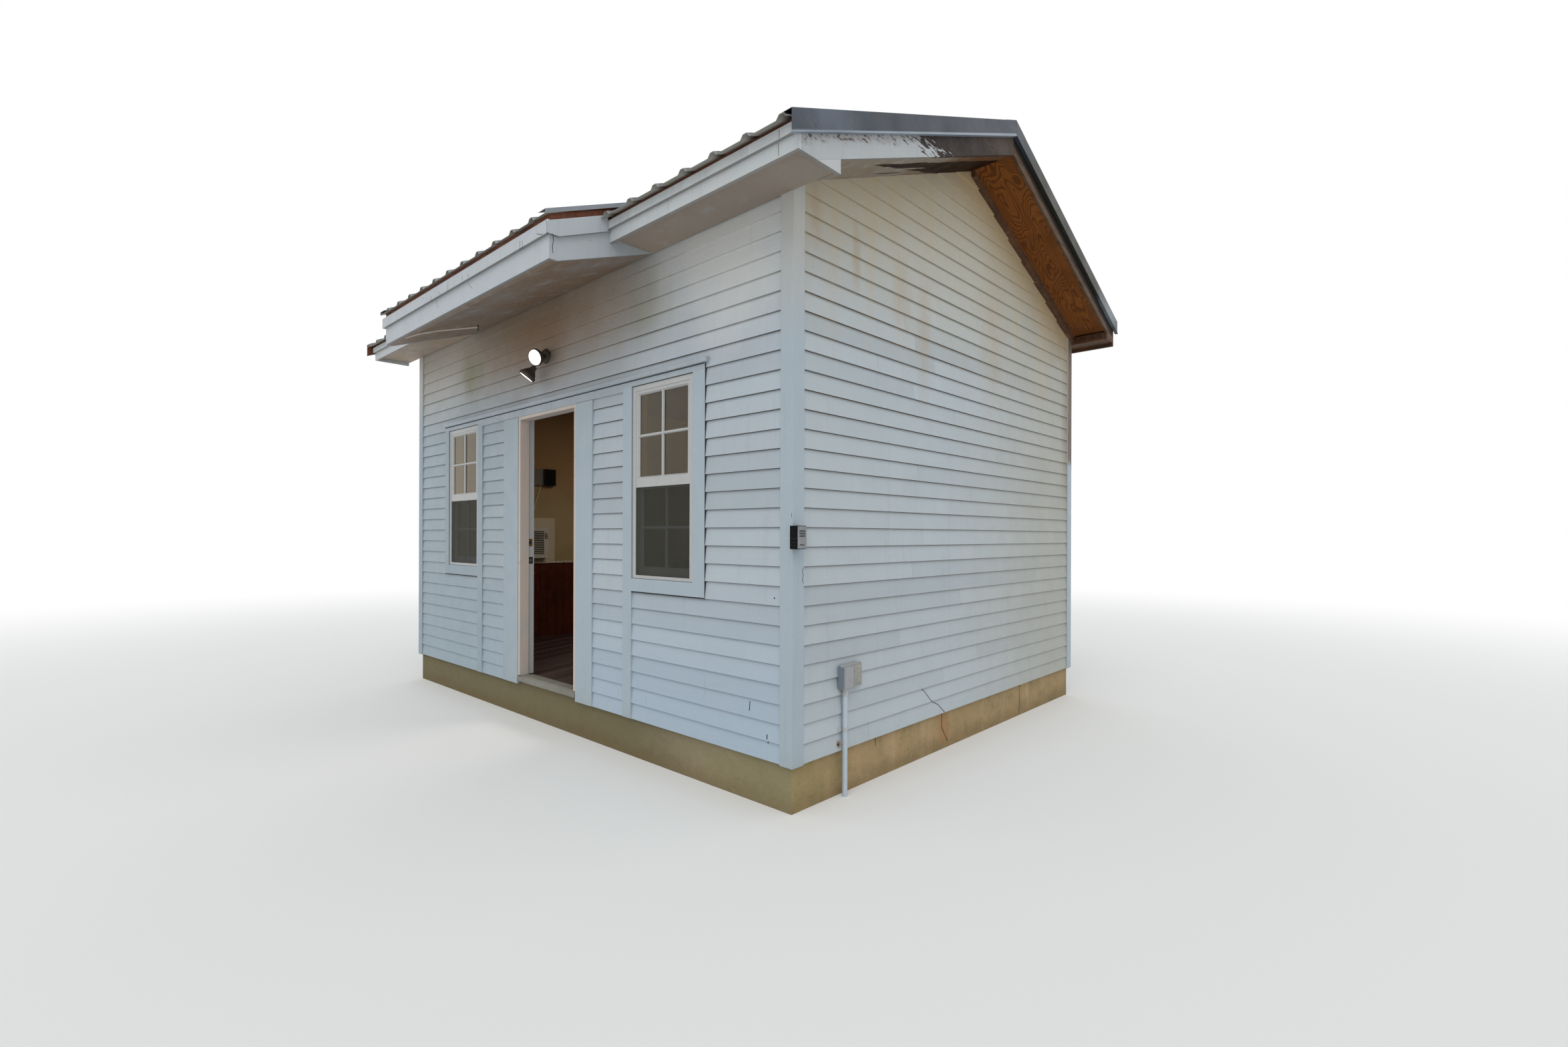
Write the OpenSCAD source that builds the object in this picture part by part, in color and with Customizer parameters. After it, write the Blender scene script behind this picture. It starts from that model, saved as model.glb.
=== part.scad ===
// Small clapboard boathouse with a gabled ribbed-metal roof and a porch roof over its door.
// Millimetres, +Z up. The origin is the middle of the footprint, at the underside of the foundation.
// +X runs to the right along the front wall, and +Y runs to the back.

/* [Building] */
// Width of the house over its corner boards
body_w = 4980; // [4200:10:6000]
// Depth of the house over its corner boards
body_d = 3760; // [3200:10:4600]
// Height of the lower edge of the siding above the underside of the foundation
siding_z = 250; // [150:5:400]
// How far the siding laps down over the foundation
siding_lap = 25; // [10:1:50]
// Thickness of the framed walls, from the sheathing to the inner lining
wall_t = 105; // [100:1:120]
// Thickness of the lap siding at its butt edge
siding_t = 17; // [12:1:20]
// Thickness of the corner boards and casings
trim_t = 22; // [21:1:30]
// Face width of the corner boards
corner_w = 88; // [60:1:140]
// How far the corner boards run down past the siding
corner_drop = 5; // [0:1:15]
// Setback of the foundation face behind the corner boards
found_inset = 30; // [24:1:60]
// Thickness of the plank floor
floor_t = 20; // [12:1:30]

/* [Roof] */
// Underside of the rafters over the front of the corner boards, above the underside of the foundation
eave_z = 3212; // [3100:2:3400]
// Rise of the roof for each 12 of run
rise = 5; // [4.4:0.1:5.6]
// Depth of the rafters, square to the slope
rafter_h = 140; // [110:1:190]
// Thickness of a rafter
rafter_t = 38; // [30:1:60]
// Distance between the rafters
rafter_pitch = 610; // [400:5:700]
// Depth of the seats that the rafters have on the wall plates
seat_h = 24; // [10:1:34]
// How far the ridge board reaches below the rafters' heads
ridge_drop = 20; // [5:1:60]
// Thickness of the roof sheathing
deck_t = 11; // [9:1:20]
// Thickness of the battens under the metal
batten_t = 34; // [19:1:40]
// Width of the battens under the metal
batten_w = 89; // [60:1:100]
// Distance between the battens
batten_pitch = 640; // [400:5:800]
// Overhang of the roof past the gable walls, to the face of the rake boards
gable_over = 300; // [200:5:400]
// Overhang of the front eave, to the face of its fascia
front_over = 304; // [250:1:340]
// Overhang of the back eave, to the face of its fascia
back_over = 174; // [120:1:220]
// Thickness of the fascia and rake boards
board_t = 20; // [15:1:30]
// Lower edge of the front fascia above the underside of the rafters there
fascia_lift = 55; // [40:1:70]
// Height of the front soffit above the lower edge of the fascia
soffit_rise = 30; // [10:1:40]
// Thickness of the front and rake soffit boards
soffit_t = 10; // [6:1:14]
// Open joint between boards that meet at the ridge
joint_gap = 1; // [0.5:0.5:3]
// Height of the strip along the top of the front fascia
strip_h = 49; // [30:1:60]
// How far the back fascia reaches below the underside of the rafters there
back_drop = 20; // [5:1:40]
// Height of the back soffit above the lower edge of the back fascia
back_soffit_rise = 30; // [15:1:45]
// Thickness of the back soffit board
back_soffit_t = 18; // [10:1:22]

/* [Metal roofing] */
// Thickness of the roofing sheet
sheet_t = 1.6; // [1:0.1:3]
// Height of the sheet's ribs
rib_h = 20; // [12:1:30]
// Width of a rib at its foot
rib_foot = 60; // [40:1:80]
// Width of a rib at its top
rib_top = 24; // [14:1:36]
// Distance between the ribs
rib_pitch = 229; // [180:1:320]
// How far the sheet runs past the front fascia
sheet_drip = 70; // [40:1:100]
// How far the back sheet runs past the back fascia
back_drip = 50; // [30:1:80]
// How far the sheets stop short of the ridge, under its cap
ridge_gap = 8; // [4:1:20]
// How far the edge trims stand out from the rake boards
edge_out = 20; // [12:1:30]
// How far the edge trims' lower lip kicks out
edge_kick = 6; // [2:1:10]
// Height of that lip
edge_lip = 15; // [8:1:25]
// How far the edge trims stop short of the sheets' lower edges
edge_short = 4; // [0:1:10]
// Height of the edge trims' face
edge_h = 98; // [80:1:110]
// Width of the edge trims' flange over the sheet
edge_flange = 75; // [50:1:110]
// Length of each leg of the ridge cap
cap_leg = 150; // [100:1:220]

/* [Porch roof] */
// Width of the porch roof over its end boards
porch_w = 2574; // [2300:2:2800]
// Middle of the porch roof from the middle of the house
porch_x = 20; // [-100:5:100]
// Overhang of the porch roof, to the face of its lower fascia board
porch_over = 686; // [600:1:760]
// Lower edge of the porch fascia above the underside of the rafters there
porch_rise = 12; // [4:1:20]
// Length of the level cut at the foot of the end boards
porch_cut = 52; // [40:1:80]
// Height of the lower porch fascia board that shows
porch_low_h = 129; // [100:1:150]
// Height of the upper porch fascia board
porch_top_h = 75; // [60:1:82]
// How far the porch sheet lies above the main sheet's pans
porch_lift = 55; // [40:1:70]
// How far the porch sheet runs past the face of its lower fascia board
porch_drip = 34; // [32:1:70]
// How far the porch sheet laps over the main roof, behind the front fascia
porch_lap = 580; // [300:5:800]
// Height of the face of the porch roof's edge trims
porch_edge_h = 22; // [16:1:30]

/* [Door] */
// Width of the door leaf
leaf_w = 813; // [700:1:915]
// Height of the door leaf
leaf_h = 2025; // [1900:1:2060]
// Thickness of the door leaf
leaf_t = 44; // [35:1:50]
// Angle at which the door stands open
leaf_open = 96; // [90:1:110]
// Running gap around the door leaf
leaf_gap = 3; // [2:0.5:5]
// Gap under the door leaf
leaf_low = -7; // [-8:1:6]
// Distance from the hinge line to the faces of the leaf and of the wall lining
hinge_out = 6; // [4:1:10]
// Diameter of a hinge's knuckle
hinge_d = 12; // [8:1:14]
// Height of a hinge
hinge_h = 100; // [70:1:130]
// Distance from the ends of the leaf to the middle of the end hinges
hinge_inset = 180; // [120:5:300]
// Height of the knobs over the lower edge of the leaf
knob_z = 900; // [850:5:1000]
// Distance from the knobs to the free edge of the leaf
knob_inset = 60; // [50:1:80]
// Diameter of a knob's rose
knob_d = 64; // [50:1:76]
// Thickness of the jamb boards
jamb_t = 35; // [32:1:42]
// Thickness of the door stop
stop_t = 12; // [8:1:16]
// Depth of the door stop, from the front edge of the jamb
stop_d = 74; // [50:1:74]
// Setback of the jamb's front edge behind the casings
jamb_set = 4; // [0:1:15]
// Width of the left door casing
casing_left_w = 244; // [120:1:260]
// Width of the right door casing
casing_right_w = 212; // [120:1:260]
// Reveal between the casings and the face of the door stop
casing_reveal = 31; // [16:1:40]
// Height of the threshold's top above the lower edge of the siding
step_rise = 69; // [60:1:80]
// Fall of the threshold towards its nose
step_fall = 14; // [8:1:20]
// How far the threshold's nose stands out past the casings
step_nose = 6; // [0:1:20]

/* [Windows] */
// Middle of the right window from the middle of the house
win_right_x = 1401; // [1380:1:1450]
// Middle of the left window from the middle of the house
win_left_x = -1465; // [-1500:1:-1440]
// Width of a window frame
win_w = 606; // [560:1:640]
// Height of a window frame
win_h = 1226; // [1000:1:1300]
// Depth of a window frame
win_d = 80; // [66:1:100]
// Setback of the window frames behind the casings
win_set = 10; // [4:1:20]
// Face width of the window frames at their sides and top
frame_w = 36; // [25:1:45]
// Height of the window frames' sills
sill_h = 22; // [15:1:40]
// Thickness of a sash
sash_t = 28; // [20:1:30]
// Setback of the upper sash behind the face of the frame
sash_set = 3; // [2:1:6]
// Running gap between the upper and the lower sash
sash_gap = 2; // [1:0.5:3]
// Face width of the sashes' stiles
stile_w = 21; // [15:1:40]
// Face height of the upper sash's top rail
top_rail = 18; // [14:1:40]
// Height of the meeting rails
meeting_h = 60; // [30:1:70]
// Height of the lower sash's bottom rail
low_rail = 46; // [30:1:70]
// Lower edge of the meeting rails above the underside of the window frame
meeting_z = 578; // [480:1:620]
// Thickness of the glass
glass_t = 4; // [3:1:6]
// Thickness of the insect screens
screen_t = 4; // [2:0.5:6]
// Width of the right window's outer casing
casing_far_right = 107; // [60:1:130]
// Width of the left window's outer casing
casing_far_left = 80; // [60:1:130]
// Height of the lower window casings
apron_h = 82; // [50:1:110]
// Width of the full-height boards beside the windows
post_w = 93; // [60:1:130]
// Height of the head casing over the tops of the windows
head_h = 38; // [30:1:60]
// How far the head casing laps down between the windows
head_lap = 23; // [0:1:26]
// Height of the drip cap on the head casing
drip_h = 27; // [15:1:35]
// How far the drip cap stands out past the casings
drip_out = 16; // [8:1:30]
// How far the drip cap runs past the right window's outer casing
drip_past = 30; // [0:1:60]

/* [Fittings] */
// Height of the light's base above the underside of the foundation
light_z = 2759; // [2650:5:2800]
// Diameter of the light's round base
light_d = 110; // [90:1:140]
// Depth of the light's base
light_base = 26; // [18:1:40]
// Diameter of a lamp's face
lamp_d = 124; // [90:1:130]
// Length of a lamp from its swivel to its face
lamp_l = 92; // [80:1:120]
// Length of the straight rim round a lamp's face
lamp_rim = 20; // [14:1:26]
// Step from a lamp's bowl to its rim
lamp_step = 7; // [4:1:10]
// Diameter of the light's arms
arm_d = 20; // [14:1:26]
// Height of the key box above the underside of the foundation
key_z = 1357; // [1200:5:1500]
// Width of the key box
key_w = 72; // [50:1:90]
// Height of the key box
key_h = 118; // [90:1:150]
// How far the key box stands out from the right wall
key_out = 53; // [30:1:70]
// How far the key box stands proud of the front corner
key_proud = 22; // [0:1:40]
// Thickness of the key box's face plate
key_face = 7; // [3:1:12]
// Height of the outlet box above the underside of the foundation
outlet_z = 590; // [520:5:650]
// Front side of the outlet box behind the front face of the house
outlet_back = 376; // [300:2:800]
// Width of the outlet box, and of the hinged lid beside it
outlet_w = 92; // [70:1:120]
// Height of the outlet box
outlet_h = 122; // [100:1:150]
// How far the outlet box stands out from the siding
outlet_out = 44; // [35:1:70]
// Depth of the outlet box's lid
lid_d = 26; // [12:1:34]
// Outside diameter of the conduit
conduit_d = 29; // [21:1:34]
// Height of the dark wainscot above the lower edge of the siding
wainscot_rise = 860; // [700:5:880]
// Thickness of the wainscot
wainscot_t = 10; // [6:1:14]
// Height of the rail on the wainscot
rail_h = 20; // [12:1:26]
// Depth of that rail
rail_d = 20; // [14:1:26]
// Width of the air conditioner
ac_w = 480; // [400:5:600]
// Height of the air conditioner
ac_h = 330; // [280:5:400]
// Lower edge of the air conditioner above the rail of the wainscot
ac_rise = 40; // [20:5:100]
// Right side of the air conditioner behind the front face of the house
ac_back = 1270; // [1100:5:1400]
// How far the air conditioner stands into the room
ac_in = 90; // [50:5:100]
// How far the air conditioner stands out of the left wall
ac_out = 170; // [80:5:250]
// How far the board round the air conditioner runs past its sides and top
panel_past = 110; // [60:5:160]
// Thickness of that board
panel_t = 20; // [10:1:30]
// Height of the small wall box above the underside of the foundation
wall_box_z = 1970; // [1800:5:2100]
// Front side of the wall box behind the front face of the house
wall_box_back = 1240; // [1000:5:1400]
// Width of the wall box
wall_box_w = 130; // [80:5:180]
// Height of the wall box
wall_box_h = 180; // [100:5:250]
// Depth of the wall box
wall_box_d = 60; // [30:1:80]

/* [Hidden] */
$fn = 48;
big = 20000;

// Planes of the walls
out_x = body_w / 2;
out_y = body_d / 2;
core_x = out_x - trim_t;
core_y = out_y - trim_t;
in_x = core_x - wall_t;
in_y = core_y - wall_t;
skin_x = core_x + siding_t;
skin_y = core_y + siding_t;
slab_z = siding_z + siding_lap;
floor_z = slab_z + floor_t;

// Layers of the roof, all measured straight up from the underside of the rafters
pitch = rise / 12;
ridge_z = eave_z + pitch * out_y;
pitch_deg = atan(pitch);
up = 1 / cos(pitch_deg);
deck_low = rafter_h * up;
deck_top = deck_low + deck_t * up;
pan_z = deck_top + batten_t * up;
rib_z = pan_z + (rib_h + sheet_t) * up;
porch_pan = pan_z + porch_lift;
porch_rib = porch_pan + (rib_h + sheet_t) * up;
plate_z = roof_z(core_y) + seat_h;

// Edges of the roof
rake_x = out_x + gable_over;
front_y = -out_y - front_over;
back_y = out_y + back_over;
porch_y = -out_y - porch_over;
porch_left = porch_x - porch_w / 2;
porch_right = porch_x + porch_w / 2;
fascia_z = roof_z(front_y) + fascia_lift;
soffit_z = fascia_z + soffit_rise;
back_fascia_z = roof_z(back_y) - back_drop;
back_soffit_z = back_fascia_z + back_soffit_rise;
porch_z = roof_z(porch_y) + porch_rise;
porch_foot = porch_y + porch_cut;
porch_low_top = porch_z + porch_low_h;
front_drip_y = front_y - sheet_drip;
porch_drip_y = porch_y - porch_drip;
porch_lap_y = front_y + porch_lap;
strip_top = roof_z(front_y - board_t) + (deck_top + pan_z) / 2;

// Openings of the front wall
door_x = leaf_w / 2 + leaf_gap;
stop_x = door_x - stop_t;
rough_x = door_x + jamb_t;
casing_x = stop_x + casing_reveal;
step_z = siding_z + step_rise;
leaf_z = step_z + leaf_low;
head_stop_z = leaf_z + leaf_h + leaf_gap;
stop_z = head_stop_z - stop_t;
head_z = head_stop_z + jamb_t;
door_head_z = head_z - head_lap;
head_top = head_z + head_h;
jamb_y = -out_y + jamb_set;
win_z = head_z - win_h;
half_win = win_w / 2;
left_post_x = win_left_x + half_win + post_w;
right_post_x = win_right_x - half_win - post_w;
trim_left_x = win_left_x - half_win - casing_far_left;
trim_right_x = win_right_x + half_win + casing_far_right;

// Parts of a window, from the lower left corner of its frame
sash_wide = win_w - 2 * frame_w;
upper_h = win_h - frame_w - meeting_z;
lower_h = meeting_z + meeting_h - sill_h;
lower_sash_y = sash_set + sash_t + sash_gap;

// Fittings on the walls
wainscot_z = siding_z + wainscot_rise;
rail_z = wainscot_z + rail_h;
ac_z = rail_z + ac_rise;
ac_y = -out_y + ac_back - ac_w;
outlet_y = -out_y + outlet_back;
outlet_face = skin_x + outlet_out;

// Height of the underside of the rafters over a point of the depth
function roof_z(y) = ridge_z - pitch * abs(y);

// Outline of a layer of one slope, between two heights above the rafters' underside
function slope_band(y0, y1, low, high) =
    [[y0, roof_z(y0) + low], [y1, roof_z(y1) + low], [y1, roof_z(y1) + high], [y0, roof_z(y0) + high]];

// Rectangle between two points along a wall and two heights
module rect(x0, x1, z0, z1) {
    translate([x0, z0]) square([x1 - x0, z1 - z0]);
}

// A prism along X from an outline in Y and Z
module along_x(x0, x1) {
    translate([x0, 0, 0]) rotate([90, 0, 90]) linear_extrude(x1 - x0) children();
}

// A prism along Y from an outline in X and Z
module along_y(y0, y1) {
    translate([0, y1, 0]) rotate([90, 0, 0]) linear_extrude(y1 - y0) children();
}

// A straight block between two corners
module block(a, b) {
    translate(a) cube([b[0] - a[0], b[1] - a[1], b[2] - a[2]]);
}

// The same thing at both ends of the house
module both_ends() {
    children();
    mirror([1, 0, 0]) children();
}

// A section in X and in height square to the slope, run down the front slope between two depths
module down_slope(y0, y1) {
    reach = (abs(y0) + rafter_h * 2) * up;
    intersection() {
        translate([0, 0, ridge_z]) rotate([pitch_deg + 90, 0, 0])
            translate([0, 0, -rafter_h * 2]) linear_extrude(reach + rafter_h * 2) children();
        block([-big, y0, 0], [big, y1, big]);
    }
}

// Concrete foundation, a slab with its edge down to the lowest ground
module foundation() {
    x = out_x - found_inset;
    y = out_y - found_inset;
    color("#b3a27c") block([-x, -y, 0], [x, y, slab_z]);
}

// Plank floor between the walls
module floor_planks() {
    color("#4a3c36") block([-in_x, -in_y, slab_z], [in_x, in_y, floor_z]);
}

// One side of the front wall, open where its window goes
module front_wall_part(x0, x1, win_x) {
    color("#e4e6e8") along_y(-core_y, -in_y) difference() {
        rect(x0, x1, slab_z, head_z);
        rect(win_x - half_win, win_x + half_win, win_z, head_z + 1);
    }
}

// Wall left of the doorway
module front_wall_left() {
    front_wall_part(-core_x, -rough_x, win_left_x);
}

// Wall right of the doorway
module front_wall_right() {
    front_wall_part(rough_x, core_x, win_right_x);
}

// Wall over the doorway and the windows, up to the plate
module front_wall_top() {
    color("#e4e6e8") block([-core_x, -core_y, head_z], [core_x, -in_y, plate_z]);
}

// Gable outline in Y and Z, up to a height above the rafters' underside
module gable(half, low, rise) {
    polygon([[-half, low], [half, low], [half, roof_z(half) + rise], [0, ridge_z + rise],
        [-half, roof_z(half) + rise]]);
}

// Hole for the air conditioner, as an outline in Y and Z
module ac_hole() {
    translate([ac_y, ac_z]) square([ac_w, ac_h]);
}

// Left gable wall, with the air conditioner's hole
module left_wall() {
    color("#e4e6e8") along_x(-core_x, -in_x) difference() {
        gable(in_y, slab_z, deck_low);
        ac_hole();
    }
}

// Right gable wall
module right_wall() {
    color("#e4e6e8") along_x(in_x, core_x) gable(in_y, slab_z, deck_low);
}

// Back wall, up to the plate
module back_wall() {
    color("#e4e6e8") block([-core_x, in_y, slab_z], [core_x, core_y, plate_z]);
}

// Everything of the front that isn't siding, as an outline in X and Z
module front_openings() {
    low = siding_z - 1;
    cap = head_top + drip_h;
    rect(-casing_x - casing_left_w, casing_x + casing_right_w, low, cap);
    rect(left_post_x - post_w, left_post_x, low, cap);
    rect(right_post_x, right_post_x + post_w, low, cap);
    rect(trim_left_x, left_post_x, win_z - apron_h, cap);
    rect(right_post_x, trim_right_x, win_z - apron_h, cap);
    rect(left_post_x, right_post_x, door_head_z, cap);
    rect(trim_right_x, trim_right_x + drip_past, head_top, cap);
}

// Lap siding of the front, between the corner boards
module siding_front() {
    x = out_x - corner_w;
    color("#dfe5ea") along_y(-skin_y, -core_y) difference() {
        rect(-x, x, siding_z, soffit_z + soffit_t);
        front_openings();
    }
}

// Outline of a gable's siding in Y and Z
module gable_siding() {
    difference() {
        gable(out_y - corner_w, siding_z, 0);
        children();
    }
}

// Lap siding of the right gable
module siding_right() {
    color("#dfe5ea") along_x(core_x, skin_x) gable_siding();
}

// Lap siding of the left gable, cut round the air conditioner
module siding_left() {
    color("#dfe5ea") along_x(-skin_x, -core_x) gable_siding() ac_hole();
}

// Lap siding of the back
module siding_back() {
    x = out_x - corner_w;
    color("#dfe5ea") block([-x, core_y, siding_z], [x, skin_y, back_soffit_z + back_soffit_t]);
}

// Leg of a corner board on a gable, in Y and Z, cut to the rake at its top
module corner_leg(inner, soffit) {
    polygon([[inner, siding_z - corner_drop], [out_y, siding_z - corner_drop], [out_y, soffit],
        [skin_y, soffit], [skin_y, roof_z(skin_y)], [inner, roof_z(inner)]]);
}

// Four corner boards, each with one leg on the front or back and one on the gable
module corner_boards() {
    low = siding_z - corner_drop;
    inner = out_y - corner_w;
    color("#e6eaee") both_ends() {
        block([out_x - corner_w, -out_y, low], [core_x, -core_y, soffit_z]);
        block([out_x - corner_w, core_y, low], [core_x, out_y, back_soffit_z]);
        along_x(core_x, out_x) {
            corner_leg(inner, back_soffit_z);
            mirror([1, 0]) corner_leg(inner, soffit_z);
        }
    }
}

// Head casing with its drip cap, lower between the windows than over them
module head_trim() {
    color("#e6eaee") {
        along_y(-out_y, -core_y) {
            rect(trim_left_x, trim_right_x, head_z, head_top);
            rect(left_post_x, right_post_x, door_head_z, head_top);
        }
        block([trim_left_x, -out_y - drip_out, head_top],
            [trim_right_x + drip_past, -core_y, head_top + drip_h]);
    }
}

// Flat casings at both sides of the door
module door_casing() {
    color("#e6eaee") along_y(-out_y, -core_y) {
        rect(-casing_x - casing_left_w, -casing_x, siding_z, door_head_z);
        rect(casing_x, casing_x + casing_right_w, siding_z, door_head_z);
    }
}

// Board beside a window, from the lower edge of the siding up to the head casing
module window_post(x) {
    rect(x, x + post_w, siding_z, head_z);
}

// Outer and lower casing of a window, between the outer and the inner edge of the frame
module window_casing(outer, inner, far) {
    low = win_z - apron_h;
    rect(min(outer, far), max(outer, far), low, head_z);
    rect(min(outer, inner), max(outer, inner), low, win_z);
}

// Casings of both windows
module window_trim() {
    color("#e6eaee") along_y(-out_y, -core_y) {
        window_post(left_post_x - post_w);
        window_post(right_post_x);
        window_casing(win_left_x - half_win, win_left_x + half_win, trim_left_x);
        window_casing(win_right_x + half_win, win_right_x - half_win, trim_right_x);
    }
}

// Outline of a door frame in X and Z, between an outer and an inner edge
module door_frame(outer, inner, high, top) {
    difference() {
        rect(-outer, outer, step_z, high);
        rect(-inner, inner, step_z - 1, top);
    }
}

// Door jamb with its stop, which runs out between the casings
module door_jamb() {
    color("#eceae2") {
        along_y(-core_y, -in_y) door_frame(rough_x, door_x, head_z, head_stop_z);
        along_y(jamb_y, -core_y) door_frame(casing_x, stop_x, door_head_z, stop_z);
        along_y(-core_y, jamb_y + stop_d) door_frame(rough_x, stop_x, head_z, stop_z);
    }
}

// Threshold, falling towards its nose and rebated under the leaf
module threshold() {
    nose = -out_y - step_nose;
    color("#a9aba3") along_x(-casing_x + joint_gap, casing_x - joint_gap)
        polygon([[nose, slab_z], [-in_y, slab_z], [-in_y, leaf_z - leaf_gap],
            [jamb_y + stop_d, leaf_z - leaf_gap], [jamb_y + stop_d, step_z], [-core_y, step_z],
            [nose, step_z - step_fall]]);
}

// Places the closed leaf's hinge line at the right jamb and opens it into the room
module at_hinge() {
    translate([door_x - leaf_gap / 2, -in_y + hinge_out, leaf_z]) rotate([0, 0, -leaf_open]) children();
}

// Door leaf, standing open inside
module door_leaf() {
    color("#ece9e0") at_hinge() block([-leaf_w, -leaf_t - hinge_out, 0], [0, -hinge_out, leaf_h]);
}

// Hinges and knobs of the door
module door_hardware() {
    color("#a8843c") at_hinge() {
        for (z = [hinge_inset, leaf_h / 2, leaf_h - hinge_inset]) {
            translate([0, 0, z - hinge_h / 2]) cylinder(d = hinge_d, h = hinge_h);
        }
        translate([-leaf_w + knob_inset, -leaf_t - hinge_out, knob_z]) rotate([90, 0, 0]) knob();
        translate([-leaf_w + knob_inset, -hinge_out, knob_z]) rotate([-90, 0, 0]) knob();
    }
}

// Round door knob on its rose
module knob() {
    r = knob_d / 2;
    rotate_extrude() polygon([[0, 0], [r, 0], [r, r * 0.2], [r * 0.44, r * 0.3], [r * 0.38, r * 0.94],
        [r * 0.75, r * 1.2], [r * 0.88, r * 1.56], [r * 0.75, r * 1.94], [0, r * 2.06]]);
}

// Places children in each window, with the lower left corner of its frame at the origin
module at_windows() {
    for (x = [win_left_x, win_right_x]) {
        translate([x - half_win, -out_y + win_set, win_z]) children();
    }
}

// A flat ring in X and Z with its own side, low and top borders, extruded back between two depths
module ring(w, h, side, low, top, y0, y1) {
    along_y(y0, y1) difference() {
        square([w, h]);
        translate([side, low]) square([w - 2 * side, h - low - top]);
    }
}

// Frames of both windows
module window_frames() {
    color("#f2f3f1") at_windows() ring(win_w, win_h, frame_w, sill_h, frame_w, 0, win_d);
}

// Places children on the upper sashes, which stand outside
module at_upper_sash() {
    at_windows() translate([frame_w, sash_set, meeting_z]) children();
}

// Places children on the lower sashes, which slide inside
module at_lower_sash() {
    at_windows() translate([frame_w, lower_sash_y, sill_h]) children();
}

// Sashes of both windows
module window_sashes() {
    color("#eef0ee") {
        at_upper_sash() ring(sash_wide, upper_h, stile_w, meeting_h, top_rail, 0, sash_t);
        at_lower_sash() ring(sash_wide, lower_h, stile_w, low_rail, meeting_h, 0, sash_t);
    }
}

// One pane in the middle of a sash's thickness
module pane(low, high) {
    y = (sash_t - glass_t) / 2;
    block([stile_w, y, low], [sash_wide - stile_w, y + glass_t, high]);
}

// Panes of both windows
module window_glass() {
    color("#5d6b6b") {
        at_upper_sash() pane(meeting_h, upper_h - top_rail);
        at_lower_sash() pane(low_rail, lower_h - meeting_h);
    }
}

// Insect screens over the lower half of both windows
module window_screens() {
    color("#3a3e3d") at_windows()
        block([frame_w, sash_set, sill_h], [win_w - frame_w, sash_set + screen_t, meeting_z]);
}

// Outline of a front rafter with its plumb head and its seat, less what lies below it at the eave
module rafter_outline(tail_y) {
    difference() {
        polygon(slope_band(tail_y, -rafter_t / 2, 0, deck_low));
        translate([-core_y, 0]) square([core_y, plate_z]);
        children();
    }
}

// Outline of everything below a level soffit, between its fascia and the wall
module below_soffit(eave_y, top) {
    translate([eave_y, 0]) square([-skin_y - eave_y, top]);
}

// Outline of everything below the top of the porch soffit
module below_porch_soffit() {
    polygon([[porch_y, 0], [porch_y, porch_z + soffit_t], [porch_foot, porch_z + soffit_t],
        [-skin_y, soffit_z + soffit_t], [-skin_y, 0]]);
}

// Rafters of both slopes, with longer tails under the porch roof
module rafters() {
    count = floor((in_x - rafter_t) / rafter_pitch);
    color("#b08a58") for (i = [-count:count]) {
        x = i * rafter_pitch;
        in_porch = x - rafter_t > porch_left + board_t && x + rafter_t < porch_right - board_t;
        along_x(x - rafter_t / 2, x + rafter_t / 2) {
            if (in_porch) {
                rafter_outline(porch_y + board_t) below_porch_soffit();
            } else {
                rafter_outline(front_y + board_t) below_soffit(front_y, soffit_z + soffit_t);
            }
            mirror([1, 0]) rafter_outline(-back_y + board_t)
                below_soffit(-back_y, back_soffit_z + back_soffit_t);
        }
    }
}

// Ridge board between the rafters' heads, from gable to gable
module ridge_board() {
    head = rafter_t / 2;
    color("#b08a58") block([-in_x, -head, roof_z(head) - ridge_drop], [in_x, head, roof_z(head) + deck_low]);
}

// Sheathing of the front slope, with its tongue out to the porch fascia
module roof_deck_front() {
    color("#9a7444") {
        along_x(-rake_x + board_t, rake_x - board_t)
            polygon(slope_band(front_y + board_t, 0, deck_low, deck_top));
        along_x(porch_left + board_t, porch_right - board_t)
            polygon(slope_band(porch_y + board_t, front_y + board_t, deck_low, deck_top));
    }
}

// Sheathing of the back slope
module roof_deck_back() {
    color("#9a7444") along_x(-rake_x + board_t, rake_x - board_t)
        polygon(slope_band(back_y - board_t, 0, deck_low, deck_top));
}

// Battens under the metal, along the slopes and under the porch sheet
module roof_battens() {
    wide = batten_w / up;
    color("#a5592a") {
        for (y = [front_y:batten_pitch:-batten_w]) {
            along_x(-rake_x, rake_x) polygon(slope_band(y, y + wide, deck_top, pan_z));
        }
        for (y = [back_y:-batten_pitch:batten_w]) {
            along_x(-rake_x, rake_x) polygon(slope_band(y, y - wide, deck_top, pan_z));
        }
        between = batten_w + joint_gap;
        along_x(porch_left + between, porch_right - between)
            polygon(slope_band(porch_y, porch_y + wide, deck_top, porch_pan));
        for (y = [front_y, porch_lap_y - wide]) {
            along_x(porch_left + between, porch_right - between)
                polygon(slope_band(y, y + wide, rib_z, porch_pan));
        }
        for (x = [porch_left, porch_right - batten_w]) {
            along_x(x, x + batten_w) porch_rake_batten();
        }
    }
}

// Outline of the batten along an end of the porch sheet, stepping up over the main sheet
module porch_rake_batten() {
    step = front_drip_y - joint_gap;
    line = [[porch_y, deck_top], [step, deck_top], [step, rib_z], [porch_lap_y, rib_z],
        [porch_lap_y, porch_pan], [porch_y, porch_pan]];
    polygon([for (p = line) [p[0], roof_z(p[0]) + p[1]]]);
}

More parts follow.
